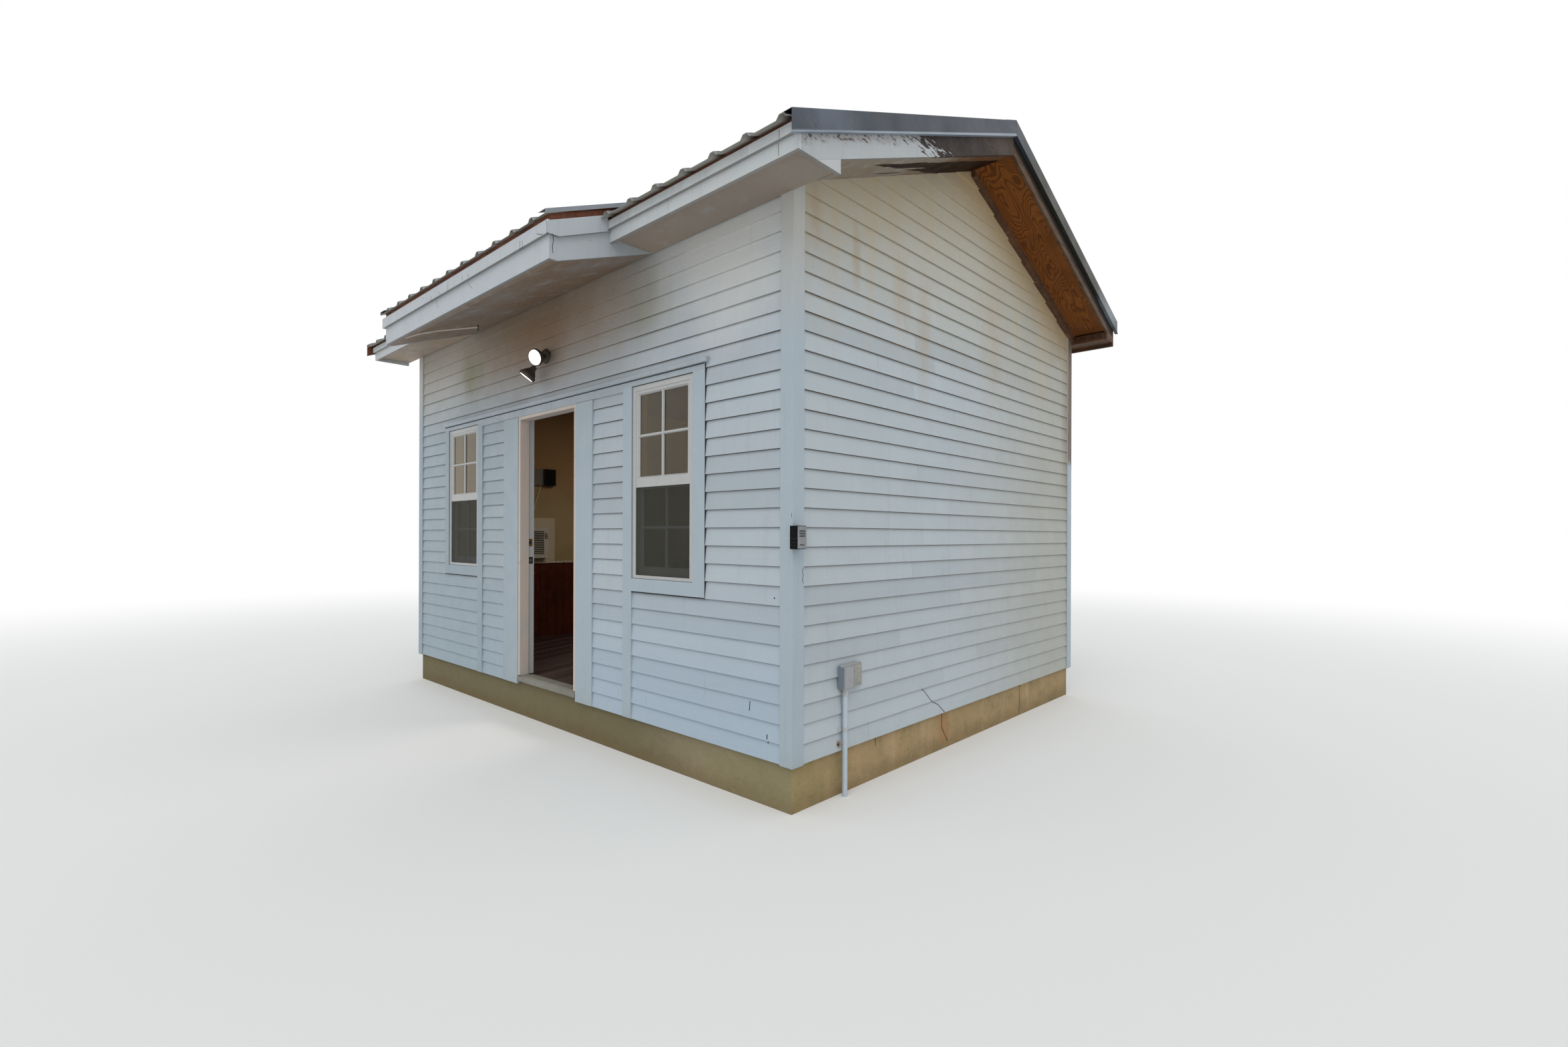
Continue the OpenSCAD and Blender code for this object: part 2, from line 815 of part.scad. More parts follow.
// Section of a ribbed sheet in X and in height square to the slope, from its underside up
module sheet_section(x0, x1) {
    count = floor((x1 - x0 - rib_foot) / rib_pitch / 2);
    middle = (x0 + x1) / 2;
    ribs = [for (i = [-count:count]) middle + i * rib_pitch];
    low = [for (x = ribs) each [[x - rib_foot / 2, 0], [x - rib_top / 2, rib_h], [x + rib_top / 2, rib_h],
        [x + rib_foot / 2, 0]]];
    high = [for (i = [len(low) - 1:-1:0]) [low[i][0], low[i][1] + sheet_t]];
    polygon(concat([[x0, 0]], low, [[x1, 0], [x1, sheet_t]], high, [[x0, sheet_t]]));
}

// Ribbed sheet of the front slope
module roof_metal_front() {
    color("#4b524e") down_slope(front_drip_y, -ridge_gap) translate([0, pan_z / up])
        sheet_section(-rake_x, rake_x);
}

// Ribbed sheet of the back slope
module roof_metal_back() {
    color("#4b524e") mirror([0, 1, 0]) down_slope(-back_y - back_drip, -ridge_gap)
        translate([0, pan_z / up]) sheet_section(-rake_x, rake_x);
}

// Ribbed sheet of the porch roof, lapping over the main one
module porch_metal() {
    color("#6a726f") down_slope(porch_drip_y, porch_lap_y)
        translate([0, porch_pan / up]) sheet_section(porch_left - board_t, porch_right + board_t);
}

// Cap over the ridge, on the flanges of the edge trims
module ridge_cap() {
    x = rake_x + edge_out;
    low = rib_z + sheet_t * up;
    high = low + sheet_t * up;
    color("#454c48") along_x(-x, x) polygon([[-cap_leg, roof_z(cap_leg) + low], [0, ridge_z + low],
        [cap_leg, roof_z(cap_leg) + low], [cap_leg, roof_z(cap_leg) + high], [0, ridge_z + high],
        [-cap_leg, roof_z(cap_leg) + high]]);
}

// Section of an edge trim at the right: flange, face, lip and return, in X and square to the slope
module edge_section() {
    t = sheet_t;
    face = rake_x + edge_out;
    top = rib_z / up;
    low = top - edge_h;
    polygon([[face - edge_flange, top], [face - t, top], [face - t, low + t], [rake_x, low + t],
        [rake_x, low], [face + edge_kick, low], [face, low + edge_lip], [face, top + t],
        [face - edge_flange, top + t]]);
}

// Metal trims along the four rakes
module edge_trims() {
    color("#3d4441") both_ends() {
        down_slope(front_drip_y + edge_short, -joint_gap) edge_section();
        mirror([0, 1, 0]) down_slope(-back_y - back_drip + edge_short, -joint_gap) edge_section();
    }
}

// Section of a porch trim at the right end: flange and face
module porch_edge_section() {
    t = sheet_t;
    face = porch_right + board_t;
    top = porch_rib / up;
    polygon([[face - edge_flange, top], [face, top], [face, top - porch_edge_h],
        [face + t, top - porch_edge_h], [face + t, top + t], [face - edge_flange, top + t]]);
}

// Metal trims along both ends of the porch sheet
module porch_trims() {
    color("#a9b1b3") {
        down_slope(porch_drip_y, porch_lap_y) porch_edge_section();
        translate([2 * porch_x, 0, 0]) mirror([1, 0, 0])
            down_slope(porch_drip_y, porch_lap_y) porch_edge_section();
    }
}

// Front fascia, left and right of the porch roof
module fascia_front() {
    top = roof_z(front_y) + deck_top;
    color("#dfe3e6") {
        block([-rake_x, front_y, fascia_z], [porch_left, front_y + board_t, top]);
        block([porch_right, front_y, fascia_z], [rake_x, front_y + board_t, top]);
    }
}

// Strip along the top of the front fascia
module eave_strip() {
    low = strip_top - strip_h;
    color("#d8dcdf") {
        block([-rake_x, front_y - board_t, low], [porch_left - board_t, front_y, strip_top]);
        block([porch_right + board_t, front_y - board_t, low], [rake_x, front_y, strip_top]);
    }
}

// Back fascia
module fascia_back() {
    top = roof_z(back_y) + deck_top;
    color("#8a5a34") block([-rake_x, back_y - board_t, back_fascia_z], [rake_x, back_y, top]);
}

// Outline of a front rake board, cut level with the lower edge of the eave
module rake_outline(eave_y, low) {
    difference() {
        polygon(slope_band(eave_y + board_t, -joint_gap / 2, 0, deck_top));
        translate([eave_y, 0]) square([-eave_y, low]);
    }
}

// Rake boards of both gables, cut level at the eaves
module rake_boards() {
    color("#dcdfe0") both_ends() along_x(rake_x - board_t, rake_x) {
        rake_outline(front_y, fascia_z);
        mirror([1, 0]) rake_outline(-back_y, back_soffit_z);
    }
}

// Level soffit of the front eave, left and right of the porch roof
module eave_soffit() {
    x = rake_x - board_t;
    top = soffit_z + soffit_t;
    color("#b9b3ab") {
        block([-x, front_y + board_t, soffit_z], [porch_left, -skin_y, top]);
        block([porch_right, front_y + board_t, soffit_z], [x, -skin_y, top]);
    }
}

// Level soffit of the back eave
module back_soffit() {
    x = rake_x - board_t;
    color("#8a5a34") block([-x, skin_y, back_soffit_z],
        [x, back_y - board_t, back_soffit_z + back_soffit_t]);
}

// Sloped soffits of both gables on the front slope
module rake_soffit_front() {
    color("#b0a79c") both_ends() along_x(core_x, rake_x - board_t)
        polygon(slope_band(-out_y + board_t, 0, 0, soffit_t));
}

// Sloped soffits of both gables on the back slope
module rake_soffit_back() {
    color("#8f5c30") both_ends() along_x(core_x, rake_x - board_t)
        polygon(slope_band(out_y - board_t, 0, 0, soffit_t));
}

// Outline of the gusset between a level cut and the rake board, at a front eave
module gusset_outline(eave_y, low) {
    end = eave_y + board_t;
    intersection() {
        translate([end, low]) square([-out_y - end, max(roof_z(out_y) - low, 0)]);
        polygon([[end, 0], [-out_y, 0], [-out_y, roof_z(out_y)], [end, roof_z(end)]]);
    }
}

// Board that closes the boxed eave in the plane of the front corner boards
module eave_return(low) {
    block([out_x, -out_y, low], [rake_x - board_t, -out_y + board_t, roof_z(out_y)]);
}

// Boards that close the ends of the boxed eaves: the gussets in the rake planes and their returns
module eave_returns() {
    color("#dcdfe0") both_ends() {
        along_x(rake_x - board_t, rake_x) {
            gusset_outline(front_y, fascia_z);
            mirror([1, 0]) gusset_outline(-back_y, back_soffit_z);
        }
        eave_return(soffit_z + soffit_t);
        mirror([0, 1, 0]) eave_return(back_soffit_z + back_soffit_t);
    }
}

// Two layers of the porch fascia
module porch_fascia() {
    color("#dfe3e6") {
        block([porch_left, porch_y, porch_z], [porch_right, porch_y + board_t, roof_z(porch_y) + deck_top]);
        block([porch_left - board_t, porch_y - board_t, porch_low_top],
            [porch_right + board_t, porch_y, porch_low_top + porch_top_h]);
    }
}

// Outline of the inner end board, from its level foot up to the sheathing
module porch_inner_outline() {
    start = porch_y + board_t;
    polygon([[start, porch_z], [porch_foot, porch_z], [-skin_y, soffit_z],
        [-skin_y, roof_z(skin_y) + deck_low], [start, roof_z(start) + deck_low]]);
}

// Outline of the outer end board, from its level foot to the front fascia's strip
module porch_outer_outline() {
    end = front_y - board_t;
    polygon([[porch_y, porch_low_top], [porch_foot, porch_low_top],
        [end, porch_low_top + pitch * (end - porch_foot)],
        [end, porch_low_top + porch_top_h + pitch * (end - porch_y)],
        [porch_y, porch_low_top + porch_top_h]]);
}

// End boards of the porch roof, an inner and an outer one at each end
module porch_ends() {
    color("#dfe3e6") {
        along_x(porch_right - board_t, porch_right) porch_inner_outline();
        along_x(porch_right, porch_right + board_t) porch_outer_outline();
        along_x(porch_left, porch_left + board_t) porch_inner_outline();
        along_x(porch_left - board_t, porch_left) porch_outer_outline();
    }
}

// Sloped soffit of the porch roof
module porch_soffit() {
    start = porch_y + board_t;
    color("#b9b3ab") along_x(porch_left + board_t, porch_right - board_t)
        polygon([[start, porch_z], [porch_foot, porch_z], [-skin_y, soffit_z], [-skin_y, soffit_z + soffit_t],
            [porch_foot, porch_z + soffit_t], [start, porch_z + soffit_t]]);
}

// One lamp from its swivel to its face, pointing along +Z
module lamp() {
    r = lamp_d / 2;
    rim = lamp_l - lamp_rim;
    edge = lamp_rim * 0.15;
    rotate_extrude() polygon([[0, -arm_d / 2], [arm_d * 0.8, -arm_d * 0.4], [arm_d, arm_d * 0.4],
        [r - lamp_step, rim - lamp_step], [r, rim], [r, lamp_l - edge], [r - edge, lamp_l], [0, lamp_l]]);
}

// A round arm between two points
module arm(a, b) {
    d = b - a;
    translate(a) rotate([0, acos(d[2] / norm(d)), atan2(d[1], d[0])]) cylinder(d = arm_d, h = norm(d));
}

// Twin floodlight over the door: round base, two arms, and lamps turned forwards and down
module floodlight() {
    hub = [0, -light_base - arm_d, 0];
    right_swivel = [40, -45, -14];
    left_swivel = [-40, -75, -92];
    color("#5c5348") translate([0, -skin_y, light_z]) {
        rotate([90, 0, 0]) rotate_extrude()
            polygon([[0, 0], [light_d / 2, 0], [light_d / 2, light_base / 2], [light_d * 0.38, light_base],
                [0, light_base]]);
        arm([0, 0, 0], hub);
        translate(hub) sphere(d = arm_d * 1.4);
        arm(hub, right_swivel);
        arm(hub, left_swivel);
        translate(right_swivel) rotate([0, 109, -72]) lamp();
        translate(left_swivel) rotate([0, 143, -126]) lamp();
    }
}

// Push-button key box on the right front corner board: its body and its face plate
module key_box() {
    y = -out_y - key_proud;
    face = out_x + key_out;
    rim = key_face / 2;
    color("#2b2c2e") block([out_x, y, key_z], [face - key_face, y + key_w, key_z + key_h]);
    color("#9fa3a6") block([face - key_face, y + rim, key_z + rim],
        [face, y + key_w - rim, key_z + key_h - rim]);
}

// Weatherproof outlet box with its hinged lid beside it
module outlet_box() {
    lid = skin_x + lid_d;
    color("#9a9d9c") {
        block([skin_x, outlet_y, outlet_z], [outlet_face, outlet_y + outlet_w, outlet_z + outlet_h]);
        block([skin_x, outlet_y + outlet_w, outlet_z], [lid, outlet_y + 2 * outlet_w, outlet_z + outlet_h]);
        along_y(outlet_y, outlet_y + 2 * outlet_w)
            translate([skin_x + lid_d / 2, outlet_z + outlet_h]) circle(d = lid_d * 0.6);
    }
}

// Conduit from the outlet box down to the ground
module conduit() {
    color("#a5a8a7") translate([skin_x + conduit_d / 2, outlet_y + outlet_w / 2, 0])
        cylinder(d = conduit_d, h = outlet_z);
}

// Air conditioner through the left wall
module ac_unit() {
    color("#d9d3c6") along_x(-out_x - ac_out, -in_x + ac_in) ac_hole();
}

// Board round the air conditioner, on the inner face of the left wall
module ac_panel() {
    color("#d8cfc0") along_x(-in_x, -in_x + panel_t) difference() {
        translate([ac_y - panel_past, rail_z]) square([ac_w + 2 * panel_past, ac_rise + ac_h + panel_past]);
        ac_hole();
    }
}

// Small wall box on the inner face of the left wall, and the junction box beside it
module wall_box() {
    y = -out_y + wall_box_back;
    top = wall_box_z + wall_box_h;
    color("#1d1f20") block([-in_x, y, wall_box_z], [-in_x + wall_box_d, y + wall_box_w, top]);
    color("#8b8d8c") block([-in_x, y - wall_box_w, wall_box_z], [-in_x + wall_box_d / 2, y, top]);
}

// A band round the room between two heights, open at the doorway
module room_band(depth, low, high) {
    difference() {
        block([-in_x, -in_y, low], [in_x, in_y, high]);
        block([-in_x + depth, -in_y + depth, low - 1], [in_x - depth, in_y - depth, high + 1]);
        block([-rough_x, -in_y - 1, low - 1], [rough_x, 0, high + 1]);
    }
}

// Dark wainscot round the room
module wainscot() {
    color("#2a1c17") room_band(wainscot_t, floor_z, wainscot_z);
}

// Pale rail on the wainscot
module wainscot_rail() {
    color("#cfc8ba") room_band(rail_d, wainscot_z, rail_z);
}

foundation();
floor_planks();  // floor
front_wall_left();
front_wall_right();
front_wall_top();
left_wall();
right_wall();
back_wall();
siding_front();
siding_right();
siding_left();
siding_back();
corner_boards();
head_trim();
door_casing();
window_trim();
door_jamb();
threshold();
door_leaf();
door_hardware();
window_frames();
window_sashes();
window_glass();
window_screens();
rafters();
ridge_board();
roof_deck_front();
roof_deck_back();
roof_battens();
roof_metal_front();
roof_metal_back();
porch_metal();
ridge_cap();
edge_trims();
porch_trims();
fascia_front();
eave_strip();
fascia_back();
rake_boards();
eave_soffit();
back_soffit();
rake_soffit_front();
rake_soffit_back();
eave_returns();
porch_fascia();
porch_ends();
porch_soffit();
floodlight();
key_box();
outlet_box();
conduit();
ac_unit();
ac_panel();
wall_box();
wainscot();
wainscot_rail();
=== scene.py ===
import math
from random import Random

import bmesh
import bpy
from mathutils import Euler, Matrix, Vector


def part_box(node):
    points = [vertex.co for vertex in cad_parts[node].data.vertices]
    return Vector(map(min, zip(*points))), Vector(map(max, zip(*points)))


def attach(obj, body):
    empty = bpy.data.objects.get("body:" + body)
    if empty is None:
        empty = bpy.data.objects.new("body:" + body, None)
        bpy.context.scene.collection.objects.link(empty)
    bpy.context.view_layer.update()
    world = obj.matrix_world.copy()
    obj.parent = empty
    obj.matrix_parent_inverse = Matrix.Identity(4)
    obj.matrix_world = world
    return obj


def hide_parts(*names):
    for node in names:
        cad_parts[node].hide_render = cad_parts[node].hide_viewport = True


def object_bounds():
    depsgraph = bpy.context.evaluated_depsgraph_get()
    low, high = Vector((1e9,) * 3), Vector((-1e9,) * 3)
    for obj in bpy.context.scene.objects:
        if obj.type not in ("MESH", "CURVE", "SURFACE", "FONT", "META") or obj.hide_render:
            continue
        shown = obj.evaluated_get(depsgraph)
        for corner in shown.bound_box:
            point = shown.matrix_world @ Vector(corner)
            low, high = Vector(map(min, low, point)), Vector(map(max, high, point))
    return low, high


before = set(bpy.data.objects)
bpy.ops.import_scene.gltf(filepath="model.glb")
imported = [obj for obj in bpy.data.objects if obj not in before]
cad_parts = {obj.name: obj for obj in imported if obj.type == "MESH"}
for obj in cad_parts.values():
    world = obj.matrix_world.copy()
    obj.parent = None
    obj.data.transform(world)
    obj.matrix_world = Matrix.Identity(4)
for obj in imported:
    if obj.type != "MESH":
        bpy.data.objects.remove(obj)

# The looks of a small clapboard boathouse: boards, panes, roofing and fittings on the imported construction.
# Metres, in the frame of the construction: +X along the front wall, +Y to the back, +Z up.
cad_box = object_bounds()
chance = Random(12)

HERE = (0, 0, 0)
RIGHT, LEFT = (1, 0, 0), (-1, 0, 0)
TO_BACK, TO_FRONT = (0, 1, 0), (0, -1, 0)
UP, DOWN = (0, 0, 1), (0, 0, -1)


def place(name, data, at=(0, 0, 0)):
    """Puts the camera, a lamp or a mesh into the scene."""
    thing = bpy.data.objects.new(name, data)
    thing.location = at
    bpy.context.scene.collection.objects.link(thing)
    return thing


# Camera at the photograph's place
CAMERA_HEADING = math.radians(42.67)
CAMERA_ROLL = math.radians(0.184)

camera = bpy.data.cameras.new("view")
camera.sensor_fit = "HORIZONTAL"
camera.sensor_width = 36
camera.lens = 15.91
camera.shift_y = 0.0076
view = place("view", camera, (4.824, -4.477, 1.426))
turn = Euler((math.pi / 2, 0, CAMERA_HEADING)).to_matrix() @ Euler((0, 0, CAMERA_ROLL)).to_matrix()
view.rotation_euler = turn.to_euler()
bpy.context.scene.camera = view
bpy.context.scene.view_settings.view_transform = "Standard"


def paint(code):
    """Linear colour of a paint chip that is written as a web colour."""
    channels = [int(code[i:i + 2], 16) / 255 for i in (1, 3, 5)]
    return tuple(c / 12.92 if c <= 0.04045 else ((c + 0.055) / 1.055) ** 2.4 for c in channels) + (1,)


class Net:
    """Adds nodes to one node tree. A socket takes a plain value or another node's output."""

    def __init__(self, tree):
        self.tree = tree

    def feed(self, node, inputs):
        for key, value in inputs.items():
            if isinstance(value, bpy.types.NodeSocket):
                self.tree.links.new(value, node.inputs[key])
            else:
                node.inputs[key].default_value = value
        return node

    def add(self, kind, inputs, **settings):
        node = self.tree.nodes.new("ShaderNode" + kind)
        for key, value in settings.items():
            setattr(node, key, value)
        return self.feed(node, inputs)

    def math(self, operation, a, b=0):
        return self.add("Math", {0: a, 1: b}, operation=operation).outputs[0]

    def vector(self, operation, *vectors):
        node = self.add("VectorMath", dict(enumerate(vectors)), operation=operation)
        return node.outputs["Value" if operation in ("DOT_PRODUCT", "LENGTH") else "Vector"]

    def noise(self, at, scale, detail, roughness):
        sockets = {"Vector": at, "Scale": scale, "Detail": detail, "Roughness": roughness}
        return self.add("TexNoise", sockets).outputs[0]

    def fade(self, value, low, high):
        sockets = {"Value": value, "From Min": low, "From Max": high}
        return self.add("MapRange", sockets, interpolation_type="SMOOTHSTEP").outputs[0]

    def mix(self, share, a, b):
        return self.add("Mix", {0: share, 6: a, 7: b}, data_type="RGBA").outputs[2]

    def output(self, name, share, first, second):
        """Fades one shader into another in front of a material's or the world's output."""
        mixed = self.add("MixShader", {0: share, 1: first.outputs[0], 2: second.outputs[0]})
        self.tree.links.new(mixed.outputs[0], self.tree.nodes[name].inputs[0])


def node_group(build, **inputs):
    """Node group with named inputs and one output, Mask, which build makes from the inputs."""
    tree = bpy.data.node_groups.new(build.__name__, "ShaderNodeTree")
    for label, value in inputs.items():
        kind = "NodeSocketVector" if isinstance(value, tuple) else "NodeSocketFloat"
        socket = tree.interface.new_socket(label, in_out="INPUT", socket_type=kind)
        socket.default_value = value
    tree.interface.new_socket("Mask", in_out="OUTPUT", socket_type="NodeSocketFloat")
    mask = build(Net(tree), tree.nodes.new("NodeGroupInput").outputs)
    tree.links.new(mask, tree.nodes.new("NodeGroupOutput").inputs[0])


def drawn_noise(net, given, detail, roughness):
    """Noise that is stretched by the group's own scale along each axis."""
    return net.noise(net.vector("MULTIPLY", given["Position"], given["Stretch"]), 1, detail, roughness)


def ragged_edge(net, given):
    """Small shift, to either side, that makes a stain's edge ragged."""
    shift = net.math("SUBTRACT", drawn_noise(net, given, 5, 0.6), 0.5)
    return net.math("MULTIPLY", shift, given["Ragged"])


def blotches(net, given):
    """Soft clouds: mildew, damp and faded paint, and on the glass painted reflections."""
    return net.fade(net.noise(given["Position"], given["Scale"], 5, 0.62), given["Low"], given["High"])


def runs(net, given):
    """Streaks that rain draws down a wall, and fibres along a board."""
    return net.fade(drawn_noise(net, given, 4, 0.55), given["Low"], given["High"])


def rings(net, given):
    """Flame figure of rotary-cut veneer: lines round long, smooth hills."""
    hills = net.math("MULTIPLY", drawn_noise(net, given, 2.6, 0.42), given["Lines"])
    return net.fade(net.math("SINE", hills), given["Low"], given["High"])


def level(net, given):
    """Rises from 0 to 1 between two places along an axis, with a ragged edge."""
    along = net.vector("DOT_PRODUCT", given["Position"], given["Axis"])
    return net.fade(net.math("ADD", along, ragged_edge(net, given)), given["Start"], given["End"])


def patch(net, given):
    """Ragged patch round a point: one stain, one spot of rot, and elsewhere one patch of painted light or
    shade.
    """
    away = net.vector("SUBTRACT", given["Position"], given["Centre"])
    radius = net.vector("LENGTH", net.vector("DIVIDE", away, given["Size"]))
    return net.fade(net.math("ADD", radius, ragged_edge(net, given)), 1, given["Core"])


def courses(net, given):
    """Dirt line and painted shade under the butt of each course, from 0 on the open face to 1 in the joint."""
    z = net.add("SeparateXYZ", {0: given["Position"]}).outputs[2]
    risen = net.math("FRACT", net.math("DIVIDE", net.math("SUBTRACT", z, given["Foot"]), given["Course"]))
    return net.fade(risen, given["Low"], 1)


def facing(net, given):
    """How far a surface faces one way, for the underside and the cut edges of a sheet."""
    turned = net.vector("DOT_PRODUCT", given["Normal"], given["Axis"])
    return net.fade(turned, given["Low"], given["High"])


node_group(blotches, Position=HERE, Scale=3, Low=0.4, High=0.7)
node_group(runs, Position=HERE, Stretch=(20, 20, 2), Low=0.4, High=0.7)
node_group(rings, Position=HERE, Stretch=(6, 1.5, 0.6), Lines=150, Low=-0.2, High=0.9)
node_group(level, Position=HERE, Axis=UP, Start=0, End=1, Stretch=(7, 7, 7), Ragged=0.1)
node_group(patch, Position=HERE, Centre=HERE, Size=(1, 1, 1), Stretch=(12, 12, 12), Ragged=1.2, Core=0.4)
node_group(courses, Position=HERE, Foot=0.25, Course=0.1, Low=0.93)
node_group(facing, Normal=UP, Axis=UP, Low=0.4, High=0.8)
finishes = {}


class Finish(Net):
    """One material: a colour with layers of stain and painted light or shade over it, a roughness that follows
    wear, and a relief.
    """

    def __init__(self, name, colour, roughness, **sockets):
        finishes[name] = self
        self.material = bpy.data.materials.new(name)
        self.material.use_nodes = True
        super().__init__(self.material.node_tree)
        self.shader = self.tree.nodes["Principled BSDF"]
        here = self.add("TexCoord", {}).outputs
        self.at = here["Object"]
        self.normal = here["Normal"]
        self.colour = paint(colour)
        self.roughness = roughness
        self.height = None
        for key, value in sockets.items():
            label = key.replace("_", " ").title().replace("Ior", "IOR")
            self.feed(self.shader, {label: value})

    def mask(self, group, **inputs):
        """Value of a node group on this surface."""
        first = {"Normal": self.normal} if group == "facing" else {"Position": self.at}
        return self.add("Group", {**first, **inputs}, node_tree=bpy.data.node_groups[group]).outputs[0]

    def facing(self, axis, low=0.4, high=0.8):
        """Mask of the faces that look one way."""
        return self.mask("facing", Axis=axis, Low=low, High=high)

    def beyond(self, axis, start, end, ragged=0, **edge):
        """Mask of what lies beyond a line, with a clean or a ragged edge."""
        return self.mask("level", Axis=axis, Start=start, End=end, Ragged=ragged, **edge)

    def both(self, a, b):
        """Mask that holds only where two masks meet."""
        return self.math("MULTIPLY", a, b)

    def layer(self, mask, colour, amount=1):
        """Lays a colour over what is there, where the mask is 1."""
        self.colour = self.mix(self.math("MULTIPLY", mask, amount), self.colour, paint(colour))

    def blotches(self, scale, low, high, colour, amount=1):
        self.layer(self.mask("blotches", Scale=scale, Low=low, High=high), colour, amount)

    def runs(self, stretch, low, high, colour, amount=1):
        self.layer(self.mask("runs", Stretch=stretch, Low=low, High=high), colour, amount)

    def level(self, axis, start, end, ragged, colour, amount=1):
        self.layer(self.beyond(axis, start, end, ragged), colour, amount)

    def patch(self, centre, size, colour, amount=1, **edge):
        self.layer(self.mask("patch", Centre=centre, Size=size, **edge), colour, amount)

    def tones(self, dark, light, amount=1):
        """Gives each board its own tone, from the number that is kept on its faces."""
        tone = self.add("Attribute", {}, attribute_name="tone").outputs["Fac"]
        self.layer(self.fade(tone, 0.5, 0), dark, amount)
        self.layer(self.fade(tone, 0.5, 1), light, amount)

    def raise_by(self, mask, height):
        """Adds to the relief, in metres."""
        lift = self.math("MULTIPLY", mask, height)
        self.height = lift if self.height is None else self.math("ADD", self.height, lift)

    def grain(self, stretch, height):
        """Relief of fibres that run along the axis with the least stretch."""
        self.raise_by(self.mask("runs", Stretch=stretch, Low=0.3, High=0.75), height)

    def pitted(self, scale, height):
        """Relief of a rough cast or worn surface."""
        self.raise_by(self.mask("blotches", Scale=scale, Low=0.25, High=0.8), height)

    def worn(self, scale, change):
        """Lets the roughness rise and fall over the surface."""
        wear = self.mask("blotches", Scale=scale, Low=0.3, High=0.75)
        self.roughness = self.math("ADD", self.math("MULTIPLY", wear, change), self.roughness)

    def done(self):
        """Connects what was gathered."""
        self.feed(self.shader, {"Base Color": self.colour, "Roughness": self.roughness})
        if self.height is not None:
            bump = self.add("Bump", {"Height": self.height, "Distance": 1, "Strength": 1})
            self.feed(self.shader, {"Normal": bump.outputs[0]})


# Planes and levels of the house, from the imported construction
front_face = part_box("siding_front")[0].y
front_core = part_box("siding_front")[1].y
side_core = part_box("siding_right")[0].x
back_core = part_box("siding_back")[0].y
siding_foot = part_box("siding_front")[0].z
butt = front_core - front_face
front_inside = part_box("front_wall_left")[1].y
soffit_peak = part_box("rake_soffit_back")[1].z
pitch = (soffit_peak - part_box("rake_soffit_back")[0].z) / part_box("rake_soffit_back")[1].y
outlet_half = (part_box("outlet_box")[0].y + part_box("outlet_box")[1].y) / 2
COURSE = 0.1016
THIN_EDGE = 0.006
WELD = 0.00005
SAME_PLANE = 0.0001
SAME_SPAN = 0.0005

# Stretch of grain, fibres and rain streaks: least along the way they run
ALONG_X = (3, 45, 60)
ALONG_Y = (45, 3, 60)
ALONG_Z = (45, 45, 3)
DOWN_SLOPE = (30, 2.5, 30)
RAIN = (26, 26, 1.6)


def weathered_paint(name, colour, along, dirt="#747268", amount=0.5, gloss=0.5):
    """White paint on boards outdoors, gone grey, with damp clouds, rain streaks and the grain showing."""
    coat = Finish(name, colour, 0.48, specular_ior_level=gloss)
    coat.blotches(2.3, 0.42, 0.72, "#95a0aa", 0.3 * amount)
    coat.blotches(9, 0.5, 0.8, "#b6bec4", 0.5 * amount)
    coat.runs(RAIN, 0.52, 0.8, dirt, 0.22 * amount)
    coat.level(DOWN, -siding_foot - 0.12, -siding_foot + 0.02, 0.15, "#86897a", 0.3 * amount)
    coat.worn(7, 0.2)
    coat.grain(along, 0.0004)
    coat.pitted(160, 0.0002)
    return coat


def siding_paint(name, colour, along, joint, tones=0.4, shade=0.15):
    """Paint of the lap siding: its tone changes a little from board to board, with dirt and painted shade in
    the joints and painted shade on the undersides of the butts.
    """
    coat = weathered_paint(name, colour, along)
    coat.tones("#96a1a9", "#b4bfc7", tones)
    # Dirt and painted shade in the joint colour: a soft shaded band under each butt, then the dark joint
    for low, amount in ((0.82, shade), (0.945, 0.85)):
        coat.layer(coat.mask("courses", Foot=siding_foot, Course=COURSE, Low=low), joint, amount)
    # Painted shade on the undersides of the butts
    coat.layer(coat.facing(DOWN, 0.5, 0.9), joint, 0.7)
    return coat


def eave_paint(name, colour, gloss=0.5):
    """Paint of the boards along the eaves, with rusty nails, smears and painted shade on their undersides."""
    coat = weathered_paint(name, colour, ALONG_X, "#6f5f4f", 0.7, gloss)
    coat.blotches(30, 0.7, 0.74, "#8a6a4e", 0.5)
    # Painted shade on the undersides of the boards
    coat.layer(coat.facing(DOWN, 0.5, 0.9), "#6f6a63", 0.75)
    return coat


def bare_behind(coat, start, end, colour, low, fibre, amount):
    """Leaves what lies behind the ridge as bare timber with dark fibres, and gives its mask."""
    behind = coat.beyond(TO_BACK, start, end)
    coat.layer(behind, colour, 1)
    fibres = coat.mask("runs", Stretch=DOWN_SLOPE, Low=low, High=0.7)
    coat.layer(coat.both(behind, fibres), fibre, amount)
    return behind


def bare_timber(name, colour, dark, light, along):
    """Unpainted boards that the weather has stained."""
    wood = Finish(name, colour, 0.68)
    wood.blotches(4, 0.35, 0.7, dark, 0.7)
    wood.runs(along, 0.45, 0.75, light, 0.55)
    wood.runs(tuple(3.1 * s for s in along), 0.5, 0.8, dark, 0.5)
    wood.worn(11, 0.2)
    wood.grain(along, 0.0008)
    return wood


def plain(name, colour, roughness, shade, **sockets):
    """Moulded or cast surface with a fine texture and a little grime."""
    skin = Finish(name, colour, roughness, **sockets)
    skin.blotches(24, 0.45, 0.8, shade, 0.4)
    skin.worn(15, 0.12)
    skin.pitted(320, 0.0001)
    return skin


def metal(name, colour, roughness, shade, metallic=0):
    """Coated or bare sheet metal, streaked down its slope."""
    sheet = Finish(name, colour, roughness, metallic=metallic)
    sheet.blotches(3, 0.4, 0.75, shade, 0.5)
    sheet.runs((18, 1.5, 1.5), 0.5, 0.8, shade, 0.4)
    sheet.worn(5, 0.15)
    sheet.pitted(60, 0.00015)
    return sheet


